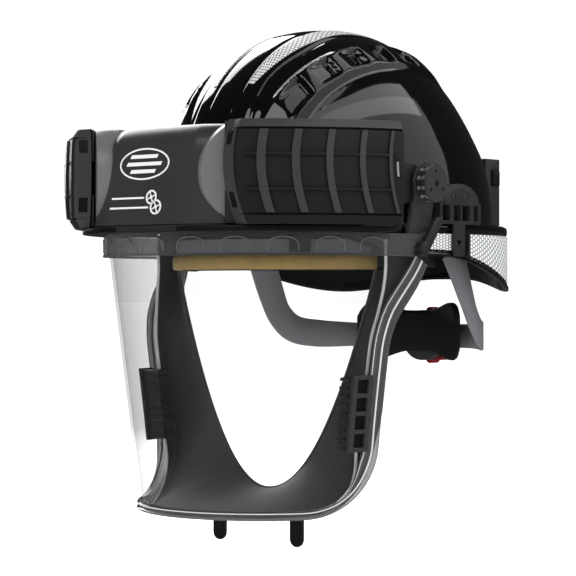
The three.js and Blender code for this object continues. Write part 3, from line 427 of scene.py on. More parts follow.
def dress(node, material, round_edges=0.0):
    """Gives a CAD node that keeps its shape a material and rounded edges."""
    made = NODES[node]
    for material_slot in made.material_slots:
        material_slot.material = material
    made.data.shade_smooth()
    made.data.set_sharp_from_angle(angle=math.radians(32))
    weld = made.modifiers.new("welded", "WELD")
    weld.merge_threshold = 0.00002
    if round_edges:
        soften(made, round_edges)


def pair(name, part, material, body, slot, nodes=(), **options):
    """The same piece on both sides. body and nodes hold {} where the side's name goes."""
    return [piece(f"{side}_{name}", shape, material, body.format(side), slot, [node.format(side) for node in nodes],
                  **options) for side, shape in (("left", part), ("right", flipped(part)))]


def box(x0, x1, y0, y1, z0, z1):
    return loft([[(x, y0, z0), (x, y1, z0), (x, y1, z1), (x, y0, z1)] for x in (x0, x1)])


def disc(centre, axis, profile, count=40):
    """A turned shape: profile is (radius, distance along the axis), lowest first. A vertical axis gives it no width."""
    axis = Vector(axis).normalized()
    side = Vector((0, 0, 1)).cross(axis).normalized()
    up = axis.cross(side)
    return loft([[tuple(Vector(centre) + axis * along + (side * c + up * s) * radius) for c, s in turns(count)]
                 for radius, along in profile])


# ---- helmet shell
HALF_WIDTH, HALF_LENGTH, HEIGHT, FULLNESS = 107, 134, 144, 2.12
WALL = 3


def crown_shift(z):
    """The crown leans forward above the brow."""
    return -5 * smooth((z - 40) / 50)


def ledge_at(angle):
    """How far the rim stands out of the dome, by the angle from the front."""
    return 2 + 11 * smooth((0.1 - math.cos(angle)) / 1.1)


def skirt_low(angle):
    """The height of the rim's lower edge: it drops past the ears and again at the nape."""
    turn = abs(math.atan2(math.sin(angle), math.cos(angle)))
    return -5 - 13 * smooth((turn - 0.75) / 0.5) - 24.5 * smooth(turn - 1.45) + 9.5 * smooth((turn - 2.45) / 0.6)


def ridge_x(y):
    """How far from the middle the vent ridge runs at that y."""
    return 59.5 - 16 * ((y - 4) / 110) ** 2


VENTS = [-92, -68, -42, -16, 12]


def shell_relief(x, y, z):
    """How far the crown's surface stands out of, or sinks into, the plain dome."""
    x = abs(x)

    def groove(at, width, depth):
        return -depth * smooth(1 - abs(x - at) / width)

    outer = 33.5 - 7.5 * smooth((-55 - y) / 45)
    lines = groove(11.6, 1.9, 1.0) + groove(outer, 2.4, 1.3) - 0.5 * smooth((x - outer) / 3) * smooth((x - 9) / 3)
    off = x - ridge_x(y)
    ends = smooth((y + 118) / 24) * smooth((60 - y) / 26)
    rise = 3.4 * smooth((11.5 - abs(off)) / 5) * ends
    pocket = 0.0
    for middle in VENTS:
        within = smooth((7.2 - abs(off)) / 2.6) * smooth((y - middle + 12) / 9) * smooth((middle + 11 - y) / 3)
        pocket += within * 0.27 * max(0, y - middle + 10)
    return lines * smooth((122 - abs(y)) / 16) * smooth((z - 52) / 16) + (rise - pocket) * smooth((z - 56) / 14)


def crown_rows(grow, relief):
    """The dome, with rows close together over the ridges."""
    limit, dense_to = 0.996 * (HALF_WIDTH + grow), 75
    sides = [dense_to + (limit - dense_to) * math.sin(math.pi / 2 * i / 22) for i in range(1, 23)]
    xs = [-x for x in reversed(sides)] + [i * 1.25 for i in range(-60, 61)] + sides
    a, b, c = HALF_WIDTH + grow, HALF_LENGTH + grow, HEIGHT + grow
    edge = (1 - (3.5 / c) ** FULLNESS) ** (1 / FULLNESS)
    rows = []
    for x in xs:
        narrow = math.sqrt(1 - (x / a) ** 2)
        widest = math.sqrt(max(0.0, edge ** 2 - (x / a) ** 2)) / narrow
        row = []
        for u in steps(-1, 1, 240):
            share = widest * squared(math.sin(u * math.pi / 2), 2 / FULLNESS)
            y = b * share * narrow
            out = min(1, math.hypot(x / a, y / b))
            z = c * (1 - out ** FULLNESS) ** (1 / FULLNESS)
            normal = Vector((x / a ** 2, y / b ** 2, (z / c) ** (FULLNESS - 1) / c)).normalized()
            lift = shell_relief(x, y, z) if relief else 0
            row.append((x + normal.x * lift, y + normal.y * lift + crown_shift(z), z + normal.z * lift))
        rows.append(row)
    return rows


def skirt_rows():
    """The rim: the ledge steps out of the dome, the sheets lie in a shallow recess, and a bead closes the edge."""
    rows, count = [], 160
    for i in range(count):
        angle = 2 * math.pi * i / count
        ledge, low = ledge_at(angle), skirt_low(angle)
        step = [(-1.6, 9), (-0.2, 6.6), (ledge * 0.35, 5.4), (ledge * 0.8, 4.6), (ledge - 0.2, 3.6), (ledge + 0.3, 2.2)]
        recess = [(ledge + 0.3, -0.6), (ledge - 0.3, -1.3), (ledge - 0.3, low + 3.4), (ledge + 0.6, low + 2.8)]
        bead = [(ledge + 1.5, low + 1.6), (ledge + 1.4, low + 0.3), (ledge + 0.2, low), (ledge - 2, low + 0.4)]
        inside = [(ledge - WALL, low + 2), (ledge - WALL, 0), (-WALL - 1, 2), (-WALL - 1.5, 8)]
        section = step + recess + bead + inside
        rows.append([((HALF_WIDTH + o) * math.sin(angle), -(HALF_LENGTH + o) * math.cos(angle), z) for o, z in section])
    return rows


def helmet_shell():
    outside = grid(crown_rows(0, True))
    inside = grid(crown_rows(-WALL, False))
    return joined([outside, inside, grid(skirt_rows(), closed=True, wrap=True)])


piece("shell", helmet_shell(), GLOSS, "helmet", "gloss_shell", ["helmet_shell"], sharp=75)


def sheet_uv(made, columns, rows, across, down):
    """UV in millimetres for a plate whose front and back grids have that many rows and columns."""
    layer = made.data.uv_layers.new(name="UVMap")
    for loop in made.data.loops:
        k = loop.vertex_index % (rows * columns)
        u, v = (k % columns) / (columns - 1), (k // columns) / (rows - 1)
        layer.data[loop.index].uv = (50 + across * u, 50 + down * v)


def crown_sheet():
    """The reflective sheet between the crown's grooves: widest in the middle, pointed at the back."""
    def point(x, lift, grow):
        along = squared(math.cos(lift), 2 / FULLNESS)
        narrow = math.sqrt(1 - (x / HALF_WIDTH) ** 2)
        out = math.hypot(x / HALF_WIDTH, along * narrow)
        z = (HEIGHT + grow) * (1 - out ** FULLNESS) ** (1 / FULLNESS)
        return (x, -(HALF_LENGTH + grow) * along * narrow + crown_shift(z), z)

    def row(t, grow):
        inner = 14.6 + 2 * math.sin(math.pi * min(1, t))
        wide = 14 * math.sin(math.pi * min(0.5, 0.04 + 1.1 * t)) ** 0.8 * smooth((1.03 - t) / 0.2) + 0.5
        return [point(x, 0.74 + (math.pi - 1.45) * t, grow) for x in steps(inner, min(inner + wide, 29.5), 8)]

    return plate([row(t, 0.55) for t in steps(0, 1, 60)], [row(t, 0.1) for t in steps(0, 1, 60)])


for made in pair("crown_sheet", crown_sheet(), SHEET, "helmet", "reflective_sheet", ["{}_crown_decal"]):
    sheet_uv(made, 9, 61, 14, 235)


def skirt_sheet(start, end):
    """The reflective sheet in the rim's recess, between two angles."""
    def row(angle, grow):
        ledge = ledge_at(angle) + grow
        return [((HALF_WIDTH + ledge) * math.sin(angle), -(HALF_LENGTH + ledge) * math.cos(angle), z)
                for z in steps(-2.6, skirt_low(angle) + 4.6, 6)]

    angles = steps(start, end, 40)
    return plate([row(a, 0.5) for a in angles], [row(a, -0.2) for a in angles])


for index, (start, end, length) in enumerate([(1.34, 1.59, 33), (1.71, math.pi - 0.06, 190)]):
    nodes = ["{}_skirt_decal"] if index else []
    for made in pair(f"skirt_sheet_{index}", skirt_sheet(start, end), SHEET, "helmet", "reflective_sheet", nodes):
        sheet_uv(made, 7, 41, 20, length)

# ---- filter pods
POD_X, POD_Y, POD_START, POD_TURN, POD_LENGTH = 59, -181, math.radians(36), math.radians(32), 122
POD_RADIUS = POD_LENGTH / POD_TURN
POD_LOW, POD_HIGH = 0.9, 67.5
COVER_LOW, COVER_HIGH, COVER_REAR = 8, 60.5, 113
COVER_END = 104.9  # where the ribbed part stops and the tail begins


def pod_point(along, out, z):
    """A point by its distance along the pod's inner face and its distance out from it."""
    here = POD_START + along / POD_RADIUS
    x = POD_X + POD_RADIUS * (math.sin(here) - math.sin(POD_START)) + out * math.sin(here)
    y = POD_Y + POD_RADIUS * (math.cos(POD_START) - math.cos(here)) - out * math.cos(here)
    return (x, y, z)


def bow(z):
    """How far the cover's front and rear edges curve back at that height."""
    return (z - 41) ** 2 / 190


def cover_depth(along):
    """How deep the cover stands off the pod: a steep front edge, then a shallow crown."""
    crown = max(0, math.sin(math.pi * min(along, 110) / POD_LENGTH)) ** 0.7
    return 11 * smooth(along / 9 * 0.8 + 0.12) + 3.2 * crown


RIBS = [(23.6, 5.3), (44, 4.8), (64.2, 4.2), (84.6, 3.7), (103, 2.2)]
RAILS = [22.8, 45]


def filter_cover():
    """The cover's skin as a height over its length and height, with the ribs and rails as steps in it."""
    columns = [(t, 0.0) for t in (0, 1.5, 3, 5, 7, 9, 12, 16)]
    for middle, width in RIBS:
        start, end = middle - width / 2, middle + width / 2
        columns += [(start - 0.5, 0.0), (start, 1.0), (end, 1.0), (end + 0.5, 0.0)]
        columns += [(end + s, 0.0) for s in (5, 9.5)] if middle < 90 else []
    columns.append((COVER_END, 0.0))
    levels = [(POD_LOW, -4.2, 0), (POD_LOW + 0.8, -3.6, 0)]
    levels += [(COVER_LOW - 1.6, -0.5, 0), (COVER_LOW - 0.8, -1.7, 0), (COVER_LOW, 0, 0)]
    middles = []
    for z in RAILS:
        middles += [(z - 0.95, 0), (z - 0.75, 1), (z + 0.75, 1), (z + 0.95, 0)]
    inner = sorted(middles + [(z, 0) for z in (12, 17, 28, 33, 38, 50, 55)])
    levels += [(z, 1.0 * (1 - ((z - 34) / 27) ** 2), rail) for z, rail in inner]
    levels += [(COVER_HIGH, 0, 0), (COVER_HIGH + 0.8, -1.7, 0), (COVER_HIGH + 1.6, -0.3, 0)]
    levels += [(POD_HIGH - 0.8, -3.4, 0), (POD_HIGH, -4.2, 0)]
    back = 0.3
    rows = []
    for z, step, rail in levels:
        line = []
        for t, rib in columns:
            depth = cover_depth(t)
            raised = max(1.7 * rib * (COVER_LOW - 0.1 <= z <= COVER_HIGH + 0.1), 1.9 * rail * (t > 12))
            line.append(pod_point(t + bow(z), max(depth + step * min(1, depth / 8) + raised, back + 0.3), z))
        tail = cover_depth(COVER_END)
        start = COVER_END + bow(z)
        for share in (0.35, 0.8, 1):
            line.append(pod_point(start + (COVER_REAR - start) * share, tail + step - 0.6 * share, z))
        rows.append([pod_point(bow(z), back, z)] + line + [pod_point(COVER_REAR, back, z)])
    caps = [(row, [tuple(range(len(row)))]) for row in (rows[0], rows[-1])]
    return joined([grid(rows), *caps])


def is_painted_lit(centre):
    """True where the middle of a face lies on a rib, on the front facets or on the top chamfer, on either side. These
    faces face the lamps and get a paler grey as painted highlight.
    """
    x, y = abs(centre.x), centre.y
    here = math.atan2(x - POD_X + POD_RADIUS * math.sin(POD_START), POD_Y + POD_RADIUS * math.cos(POD_START) - y)
    along = (here - POD_START) * POD_RADIUS - bow(centre.z)
    on = any(abs(along - middle) < width / 2 + 0.15 for middle, width in RIBS)
    return along < 7.5 or centre.z > COVER_HIGH + 1.7 or on and COVER_LOW - 0.2 < centre.z < COVER_HIGH + 0.2


# The cover's lit faces are painted paler grey: painted highlight.
pair("pod_cover", filter_cover(), COVER, "cover_{}", "cover_black", ["{}_filter_cover"], sharp=28,
     second=(LIT_FACE_GREY, is_painted_lit))


def pod_patch(start, end, low, high, lift):
    """A thin patch that follows the cover between two lengths and two heights."""
    def point(t, z, extra):
        return pod_point(t + bow(z), min(cover_depth(t), cover_depth(COVER_END)) + lift + extra, z)

    return slab(point, steps(start, end, 4), steps(low, high, 4), 0.5, -0.8)


# The slots and the latch window are near-black patches: painted shade for openings.
latch_slots = joined([pod_patch(1.6, 4.6, 51.5, 60, 0.8), pod_patch(1.6, 4.6, 11.5, 21, 0.8)])
pair("pod_slots", latch_slots, DEEP_AND_SHADE, "cover_{}", "cover_black")
pair("pod_latch_window", pod_patch(106.4, 110.2, 29.5, 43, 0.5), DEEP_AND_SHADE, "cover_{}", "cover_black")
pair("pod_latch_tongue", pod_patch(107.6, 109, 31.5, 41, 0.9), GREY, "cover_{}", "cover_black")

# ---- fan housings
DRUM_ALONG = 20
DRUM_TURN = POD_START + DRUM_ALONG / POD_RADIUS
DRUM_AXIS = (math.sin(DRUM_TURN), -math.cos(DRUM_TURN), 0)
DRUM_BASE = pod_point(DRUM_ALONG, -27, (POD_LOW + POD_HIGH) / 2)


def fan_drum():
    """A round housing, cut off level with the pod's top and bottom."""
    profile = [(24, 0.2), (30, 0), (34, 2), (36.2, 6), (36.8, 11), (36.2, 17), (35, 21), (34.4, 23.2)]
    points, faces = disc(DRUM_BASE, DRUM_AXIS, profile + [(32, 23.4), (24, 23.4)], 72)
    return [(x, y, min(max(z, POD_LOW), POD_HIGH)) for x, y, z in points], faces


# The drum is black; its pale grey is painted highlight.
pair("fan_drum", fan_drum(), DRUM, "front_unit", "satin_black", ["{}_fan_housing"], sharp=50)


# ---- power housing
FACE_Y, FACE_LEAN, FACE_FOOT, SHOULDER, TOP_ROUND, TOP_INSET = -190.3, 0.15, 2, 48, 19, 17
HOUSING_REAR = -140
HOUSING_PLAN = [(0, FACE_Y), (20, -190.2), (36, -189.4), (38.5, -189), (56.2, -181), (58.2, -178.5), (57, -166),
                (50, -146), (46, HOUSING_REAR)]


def mirrored(half):
    """Half an outline, from the middle out, made whole."""
    return half[::-1] + [(-x, y, z) for x, y, z in half[1:]]


def narrowing(z):
    """The housing's width at that height, as a share of its foot's."""
    return 1 - 0.05 * (min(z, SHOULDER) - FACE_FOOT) / (SHOULDER - FACE_FOOT)


def power_housing():
    """A leaning block: flat face, chamfered shoulders, a top that rounds back, and a plinth under it."""
    rings = []
    levels = steps(1.4, SHOULDER, 8)
    levels += [SHOULDER + TOP_ROUND * math.sin(math.radians(d)) for d in (12, 24, 36, 48, 60, 70, 80, 90)]
    for z in levels:
        above = max(0, z - SHOULDER) / TOP_ROUND
        inset = TOP_INSET * (1 - math.sqrt(max(0, 1 - above * above)))
        lean = FACE_LEAN * (min(z, SHOULDER) - FACE_FOOT)
        half = [(max(0, x * narrowing(z) - 0.55 * inset * x / 58),
                 y + (lean + inset) * min(1, (HOUSING_REAR - y) / 40), z) for x, y in HOUSING_PLAN]
        rings.append(mirrored(half))
    plinth = [mirrored([(x * 1.03, y - 0.7, z) for x, y in HOUSING_PLAN[:6]]) for z in (-3.4, -3.2, 0.6, 0.9)]
    return joined([loft(rings), loft(plinth)])


piece("power_housing_skin", power_housing(), HOUSING, "front_unit", "satin_black", ["power_housing"], sharp=24,
      bevel=0.8, second=(SATIN, lambda centre: centre.z < 1.2))


def face_point(x, z, out):
    """A point on the housing's leaning face."""
    across = abs(x) / narrowing(z)
    flat = FACE_Y + 0.005 * min(across, 20) + 0.05 * max(0, across - 20)
    return (x, flat + FACE_LEAN * (z - FACE_FOOT) - out, z)


MARK_OUT, MARK_IN = 0.4, -0.3  # how far a mark stands out of the face and reaches into it


def face_ring(cx, cz, rx, rz, width, count=48):
    def ring(inset, out):
        return [face_point(cx + (rx - inset) * c, cz + (rz - inset) * s, out) for c, s in turns(count)]

    corners = ((0, MARK_IN), (0, MARK_OUT), (width, MARK_OUT), (width, MARK_IN))
    return grid([ring(*corner) for corner in corners], closed=True, wrap=True)


def bar(x0, x1, z0, z1, slant=0.0):
    point = lambda x, up, out: face_point(x + slant * up, z0 + (z1 - z0) * up, out)
    return slab(point, steps(x0, x1, 8), (0, 1), MARK_OUT, MARK_IN)


def rotor_mark(cx, cz, radius):
    """A ring with four blades, standing for a fan."""
    parts = [face_ring(cx, cz, radius, radius, 1.1, 28), face_ring(cx, cz, 1.2, 1.2, 1.1, 12)]
    blade = [(1.4, -0.25), (radius - 0.9, -0.1), (radius - 0.9, 0.12), (1.4, 0.25)]
    for k in range(4):
        a = math.pi / 2 * k + 0.4
        parts.append(loft([[face_point(cx + r * math.cos(a + turn), cz + r * math.sin(a + turn), out)
                            for r, turn in blade] for out in (MARK_IN, MARK_OUT)]))
    return joined(parts)


def plain_marks():
    """An oval with three air streams, two fan rings and two plain bars: a generic mark in place of a maker's."""
    parts = [face_ring(-7, 41.5, 22.5, 10.5, 1.1)]
    parts += [bar(-20, 4, 45.2, 47.6, 1), bar(-23, 8, 40.3, 42.7, 1), bar(-19, 3, 35.4, 37.8, 1)]
    parts += [rotor_mark(2.5, 19.5, 4.7), rotor_mark(7.2, 13, 4.9)]
    parts += [bar(-34, -4, 18.6, 19.8), bar(-35, 0.5, 12.2, 13.4)]
    return joined(parts)


piece("housing_mark", plain_marks(), WHITE, "front_unit", "satin_black")

# ---- visor
VISOR_Y, VISOR_BOTTOM, CORNER = -58, -190, 45
STRAIGHT = 110  # millimetres to a radian, past the sides of an oval
BAND_LOW, BAND_HIGH = -18, -3.5
BAND_WIDTH, BAND_LENGTH, BAND_Y, BAND_TURN = 112, 122, -60, 118


def half_oval(around, width, length, centre):
    """The front half of an oval, which runs straight back past its sides."""
    angle = min(abs(around), math.pi / 2)
    past = max(0, abs(around) - math.pi / 2) * STRAIGHT
    return (math.copysign(width * math.sin(angle), around), centre - length * math.cos(angle) + past)


def visor_point(around, offset, z):
    t = (-20 - z) / 170
    width, length = 112 - 34 * t + 10 * t * t, 117 - 8 * t - 10 * t * t
    return (*half_oval(around, width + offset, length + offset, VISOR_Y), z)


def visor_reach(z):
    """The angle at which the lens ends: it draws in below the brow and rounds the lower corner."""
    up = min(CORNER, max(0, z - VISOR_BOTTOM))
    cut = CORNER - math.sqrt(CORNER ** 2 - (CORNER - up) ** 2)
    return math.pi / 2 + 20 / STRAIGHT * smooth((z + 62) / 50) - 0.1 * smooth((-30 - z) / 50) - cut / 84


def corner_levels(first, last, count):
    return [VISOR_BOTTOM + CORNER * (1 - s) for c, s in arc(first, last, count)]


LENS_LEVELS = steps(BAND_LOW - 0.5, VISOR_BOTTOM + CORNER, 24) + corner_levels(8, 84, 14) + [VISOR_BOTTOM]


def lens():
    return slab(lambda u, z, offset: visor_point(u * visor_reach(z), offset, z), steps(-1, 1, 80), LENS_LEVELS, 2, 0)


piece("visor_screen", lens(), LENS_CLEAR, "front_unit", "clear", ["visor_lens"], sharp=60)


def rim_frames():
    """(point, outward, edge) down the lens's left side, along its bottom and up its right. edge points inward."""
    down = steps(BAND_LOW - 5, VISOR_BOTTOM + CORNER, 22) + corner_levels(6, 84, 16)
    left = [(visor_reach(z), z) for z in down]
    foot = visor_reach(VISOR_BOTTOM)
    path = left + [(a, VISOR_BOTTOM) for a in steps(foot, -foot, 40)] + [(-a, z) for a, z in reversed(left)]
    points = [Vector(visor_point(a, 1, z)) for a, z in path]
    made = []
    for k, (a, z) in enumerate(path):
        tangent = direction(points, k)
        outward = Vector(visor_point(a, 12, z)) - points[k]
        outward = (outward - tangent * outward.dot(tangent)).normalized()
        made.append((points[k], outward, tangent.cross(outward)))
    return made


RIM = rim_frames()
BEAD_EDGE = 7.4


def rim_bead(section):
    """A bead round the lens, by (in from the rim, out). Along the bottom it is lower and ends at BEAD_EDGE."""
    rings = []
    for centre, outward, edge in RIM:
        side = smooth((centre.z + 186) / 30)
        low = 0.6 + 0.4 * side
        rings.append([tuple(centre + edge * (min(e, BEAD_EDGE) * low + max(0, e - BEAD_EDGE) * side) + outward * o)
                      for e, o in section])
    return loft(rings)


RIM_SECTION = [(-2.4, -2.4), (-1.2, -3.1), (5.6, -3.1), (7, -2), (BEAD_EDGE, -1.2), (BEAD_EDGE, 1.2), (12.2, 1.3),
               (12.8, 1.8), (12.4, 2.6), (11.4, 2.9), (10.2, 2.3), (6.6, 2.5), (5, 3.6), (3.6, 3.2), (2.8, 2.6),
               (1.6, 2.6), (0.2, 3.6), (-1.4, 3.4), (-2.5, 2.2)]
piece("visor_bead", rim_bead(RIM_SECTION), RIM_CLEAR, "front_unit", "clear", ["visor_rim"], sharp=50)


def rim_line(e, o, width):
    """A fine raised line along the bead, drawn near-white as a painted highlight."""
    low, high = o - 0.5, o + 0.3
    return rim_bead([(e - width / 2, low), (e + width / 2, low), (e + width / 3, high), (e - width / 3, high)])


# The bead lines are near-white: painted highlight along the rim.
piece("visor_bead_lines", joined([rim_line(5.1, 3.4, 1.3), rim_line(11.6, 2.8, 0.5)]), HIGHLIGHT_CLEAR,
      "front_unit", "clear", sharp=70)


def gasket_width(z):
    """How far the dark gasket reaches in from the rim: most beside the brow, and almost nothing along the bottom."""
    return 9 + 24 * smooth((z + 64) / 42) + 3 * smooth((-95 - z) / 45) - 14 * smooth((-146 - z) / 46)


def gasket():
    """Rows of (strip, bead): the strip lies on the inside of the lens and the bead on its inner edge."""
    strip, bead = [], []
    for centre, outward, edge in RIM:
        width = gasket_width(centre.z)
        at = lambda e, o: tuple(centre + edge * e + outward * (o - e * abs(e) / 240))
        lip = 6.5 * smooth((centre.z + 160) / 40)
        row = [-2.2 - lip + (width + 2.2 + lip) * t for t in (0, 0.25, 0.5, 0.75, 1)]
        strip.append([at(e, -3.2) for e in row] + [at(e, -4.2) for e in reversed(row)])
        bead.append([at(width + e, o) for e, o in ((0, -2.4), (1.2, -2.3), (1.8, -3), (1.2, -4.1), (0, -4.3))])
    return strip, bead


gasket_strip, gasket_bead = gasket()


def seal_opening(share):
    """The U of the seal's opening, from the wearer's left temple under the chin to the right."""
    s = abs(share * 2 - 1)
    return Vector((math.copysign(90 * s ** 0.9, 1 - share * 2), -69 + 6 * s, -178 + 150 * s ** 1.85))


def seal_rows(lift):
    """The seal's cloth from the rim to its opening, with a slight belly and soft folds."""
    rows = []
    last = len(RIM) - 1
    for k, (centre, outward, edge) in enumerate(RIM):
        start = centre - outward * 5.0 - edge * 1.0
        end = seal_opening(k / last)
        row = []
        for t in steps(0, 1, 20):
            p = start.lerp(end, t)
            belly = math.sin(math.pi * t) * 7
            fold = 0.35 * math.sin(k * 0.9) * math.sin(math.pi * t) ** 2 * smooth(abs(k / last * 2 - 1) * 3)
            row.append((p.x, p.y + belly * 0.6 + lift * 0.9 + fold, p.z + belly * 0.15 - lift * 0.45))
        rows.append(row)
    return rows


def area_of(rows):
    points, faces = grid(rows)
    total = 0
    for f in faces:
        a, b, c, d = (Vector(points[i]) for i in f)
        total += ((b - a).cross(c - a).length + (c - a).cross(d - a).length) / 2
    return total * MM * MM


def length_of(points):
    return sum((Vector(a) - Vector(b)).length for a, b in zip(points, points[1:])) * MM


cloth = seal_rows(0)
seal = piece("face_seal_cloth", plate(cloth, seal_rows(1.1)), SEAL, "front_unit", "seal_fabric", ["face_seal"],
             sharp=60)
SEAL_AREA = area_of(cloth)
SEAL_LENGTH = length_of([row[6] for row in cloth])
SEAL_WIDTH = max(length_of(row) for row in cloth)


def hem():
    """The rolled edge round the seal's opening."""
    path = [Vector(row[-1]) + Vector((0, 0.5, -0.3)) for row in cloth]
    radius, rings = 1.3, []
    for k, centre in enumerate(path):
        tangent = direction(path, k)
        side = tangent.cross(Vector((0, 1, 0))).normalized()
        up = side.cross(tangent)
        rings.append([tuple(centre + side * radius * c + up * radius * s) for c, s in turns(10)])
    return loft(rings)


seal_hem = piece("face_seal_hem", hem(), SEAL, "front_unit", "seal_fabric", sharp=80)
piece("face_seal_gasket", loft(gasket_strip), GASKET, "front_unit", "rubber_black", sharp=60)
# The bead on the gasket's inner edge is near-white: painted highlight.
piece("face_seal_bead", loft(gasket_bead), HIGHLIGHT_CLEAR, "front_unit", "clear", sharp=70)


BROW_HALF, BROW_FRONT, BROW_DEPTH = 88, -125, 65


def brow_pad():
    """The amber pad on a curve across the brow, plump in the middle and slimmer at its ends."""
    section = [(0.2, -27), (0.0, -22), (0.2, -17.5), (2.2, -17.1), (3.9, -17.7), (4.3, -22), (3.9, -26.6), (2.2, -27.2)]
    rings = []
    for u in steps(-1, 1, 40):
        x, y = BROW_HALF * u, BROW_FRONT + BROW_DEPTH * u * u
        away = Vector((2 * BROW_DEPTH * u / BROW_HALF, -1, 0)).normalized()
        plump = 1 - 0.25 * abs(u) ** 6
        rings.append([(x + away.x * o * plump, y + away.y * o * plump, z) for o, z in section])
    return loft(rings)


brow = piece("brow_pad", brow_pad(), FOAM, "helmet", "foam", ["brow_seal"], sharp=70)


def brow_web():
    """The thin dark wall that holds the brow pad under the shell's rim. It is drawn pale grey: painted light that lifts
    the shade it sits in behind the clear band.
    """
    half, front, depth = BROW_HALF - 1.5, BROW_FRONT - 0.5, BROW_DEPTH - 2
    point = lambda u, z, out: (half * u, front + depth * u * u - out, z)
    return slab(point, steps(-1, 1, 40), (-18.5, -12, -7), 1.6, 0.6)


# The pale grey here is painted light that lifts the shade behind the clear band.
piece("brow_web", brow_web(), GREY, "helmet", "satin_black", sharp=60)


def band_point(around, offset, z):
    return (*half_oval(around, BAND_WIDTH + offset, BAND_LENGTH + offset, BAND_Y), z)


def band_slab(low, high, front, back):
    reach = math.pi / 2 + 22 / STRAIGHT
    point = lambda u, z, offset: band_point(u * reach, offset, z)
    return slab(point, steps(-1, 1, 90), steps(low, high, 3), front, back)


PIVOT = (112.6, -36, 30.5)


def ear():
    """The clear lug that reaches up from the band to the pivot, with a round flange behind the knob."""
    outline = [(-60, BAND_LOW), (-38, BAND_LOW), (-30, 2), (-25.5, 22)]
    outline += [(PIVOT[1] + 12 * c, PIVOT[2] + 12 * s) for c, s in arc(0, 180, 14)]
    outline += [(-48.5, 22), (-54, 2)]
    return loft([[(x, y, z) for y, z in outline] for x in (108.6, 111.6)])


def band():
    """The clear band above the lens, with a thin flange along its lower edge."""
    return joined([band_slab(BAND_LOW, BAND_HIGH, 2.4, 0.4), band_slab(BAND_LOW - 0.6, BAND_LOW + 0.8, 3, 0)])


piece("clear_band", band(), BAND_CLEAR, "front_unit", "clear", ["visor_band"], sharp=50)
ear_and_foot = joined([ear(), box(108.6, 113.5, -60, -40, BAND_LOW, BAND_HIGH)])
pair("clear_ear", ear_and_foot, EAR_CLEAR, "front_unit", "clear", bevel=0.6)


def band_posts():
    """Six screw bosses inside the band's corners, to which disc gives no width."""
    places = (-0.74, -0.58, -0.52, 0.52, 0.58, 0.74)
    profile = [(1.6, 0), (1.6, 13.6), (1.2, 14)]
    return joined([disc(band_point(around, -6, BAND_LOW + 1), (0, 0, 1), profile, 14) for around in places])


piece("band_posts", band_posts(), EAR_CLEAR, "front_unit", "clear", sharp=40)


def arches():
    """Raised outlines of arched windows along the clear band."""
    spacing, half, low, spring, rise = 0.262, 0.083, -15.6, -11, 4.6
    section = ((-0.35, 2.2), (0.35, 2.2), (0.2, 2.9), (-0.2, 2.9))
    parts = []
    for k in range(-5, 6):
        middle = k * spacing
        outline = [(middle - half, low), (middle - half, spring)]
        outline += [(middle - half * math.cos(math.radians(d)), spring + rise * math.sin(math.radians(d)))
                    for d in (25, 50, 75, 105, 130, 155)]
        outline += [(middle + half, spring), (middle + half, low)]
        rings = []
        for i, (around, z) in enumerate(outline):
            before, after = outline[max(i - 1, 0)], outline[min(i + 1, len(outline) - 1)]
            run, rise_here = (after[0] - before[0]) * BAND_TURN, after[1] - before[1]
            size = math.hypot(run, rise_here)
            aside, up = -rise_here / size / BAND_TURN, run / size
            rings.append([band_point(around + aside * w, o, z + up * w) for w, o in section])
        parts.append(loft(rings))
    return joined(parts)


piece("band_arches", arches(), ARM_GREY, "front_unit", "clear", sharp=60)

# ---- vents, knobs and latches
VENT_ARC, VENT_LOW, VENT_HIGH = 1.31, -146.5, -98.3


def vent_point(across, out, z):
    """A point by its distance forward across the vent and out of the lens."""
    centre, ahead = Vector(visor_point(VENT_ARC, 0, z)), Vector(visor_point(VENT_ARC + 0.02, 0, z))
    along = (ahead - centre).normalized()
    normal = Vector((along.y, -along.x, 0))
    return tuple(centre + along * across + normal * out)


def vent_block(a0, a1, o0, o1, z0, z1):
    ring = lambda z: [vent_point(a, o, z) for a, o in ((a0, o0), (a1, o0), (a1, o1), (a0, o1))]
    return loft([ring(z) for z in steps(z0, z1, 3)])


def exhale_vent():
    """A frame with four windows outside the lens, and a finned block inside it."""
    low, high, half = VENT_LOW - 1.4, VENT_HIGH + 1.4, 8.4
    parts = [vent_block(-half, -half + 4, 2.4, 5, low, high), vent_block(half - 4, half, 2.4, 5, low, high)]
    parts += [vent_block(-half + 3.8, half - 3.8, 2.4, 4.9, z, z + 3) for z in steps(low, high - 3, 4)]
    parts.append(vent_block(-6.8, 6.8, -9.5, 2.6, low + 1.2, high - 1.2))
    parts += [vent_block(-half + 0.4, half - 0.4, -10.8, -1.4, z, z + 2.2) for z in steps(low + 2, high - 4, 8)]
    return joined(parts)


pair("vent_frame", exhale_vent(), HOUSING, "front_unit", "satin_black", ["{}_exhale_vent"], sharp=30, bevel=0.5)
vent_flap = vent_block(-5, 5, -1.2, 2.9, VENT_LOW + 1, VENT_HIGH - 1)
pair("vent_flap", vent_flap, DEEP_AND_SHADE, "front_unit", "rubber_black")


def round_pivot(y, z):
    """(angle, radius) about the pivot."""
    return math.atan2(z - PIVOT[2], y - PIVOT[1]), math.hypot(y - PIVOT[1], z - PIVOT[2])


def in_notch(angle):
    """The knob's edge has eleven notches."""
    return math.cos(angle * 11) > 0.25


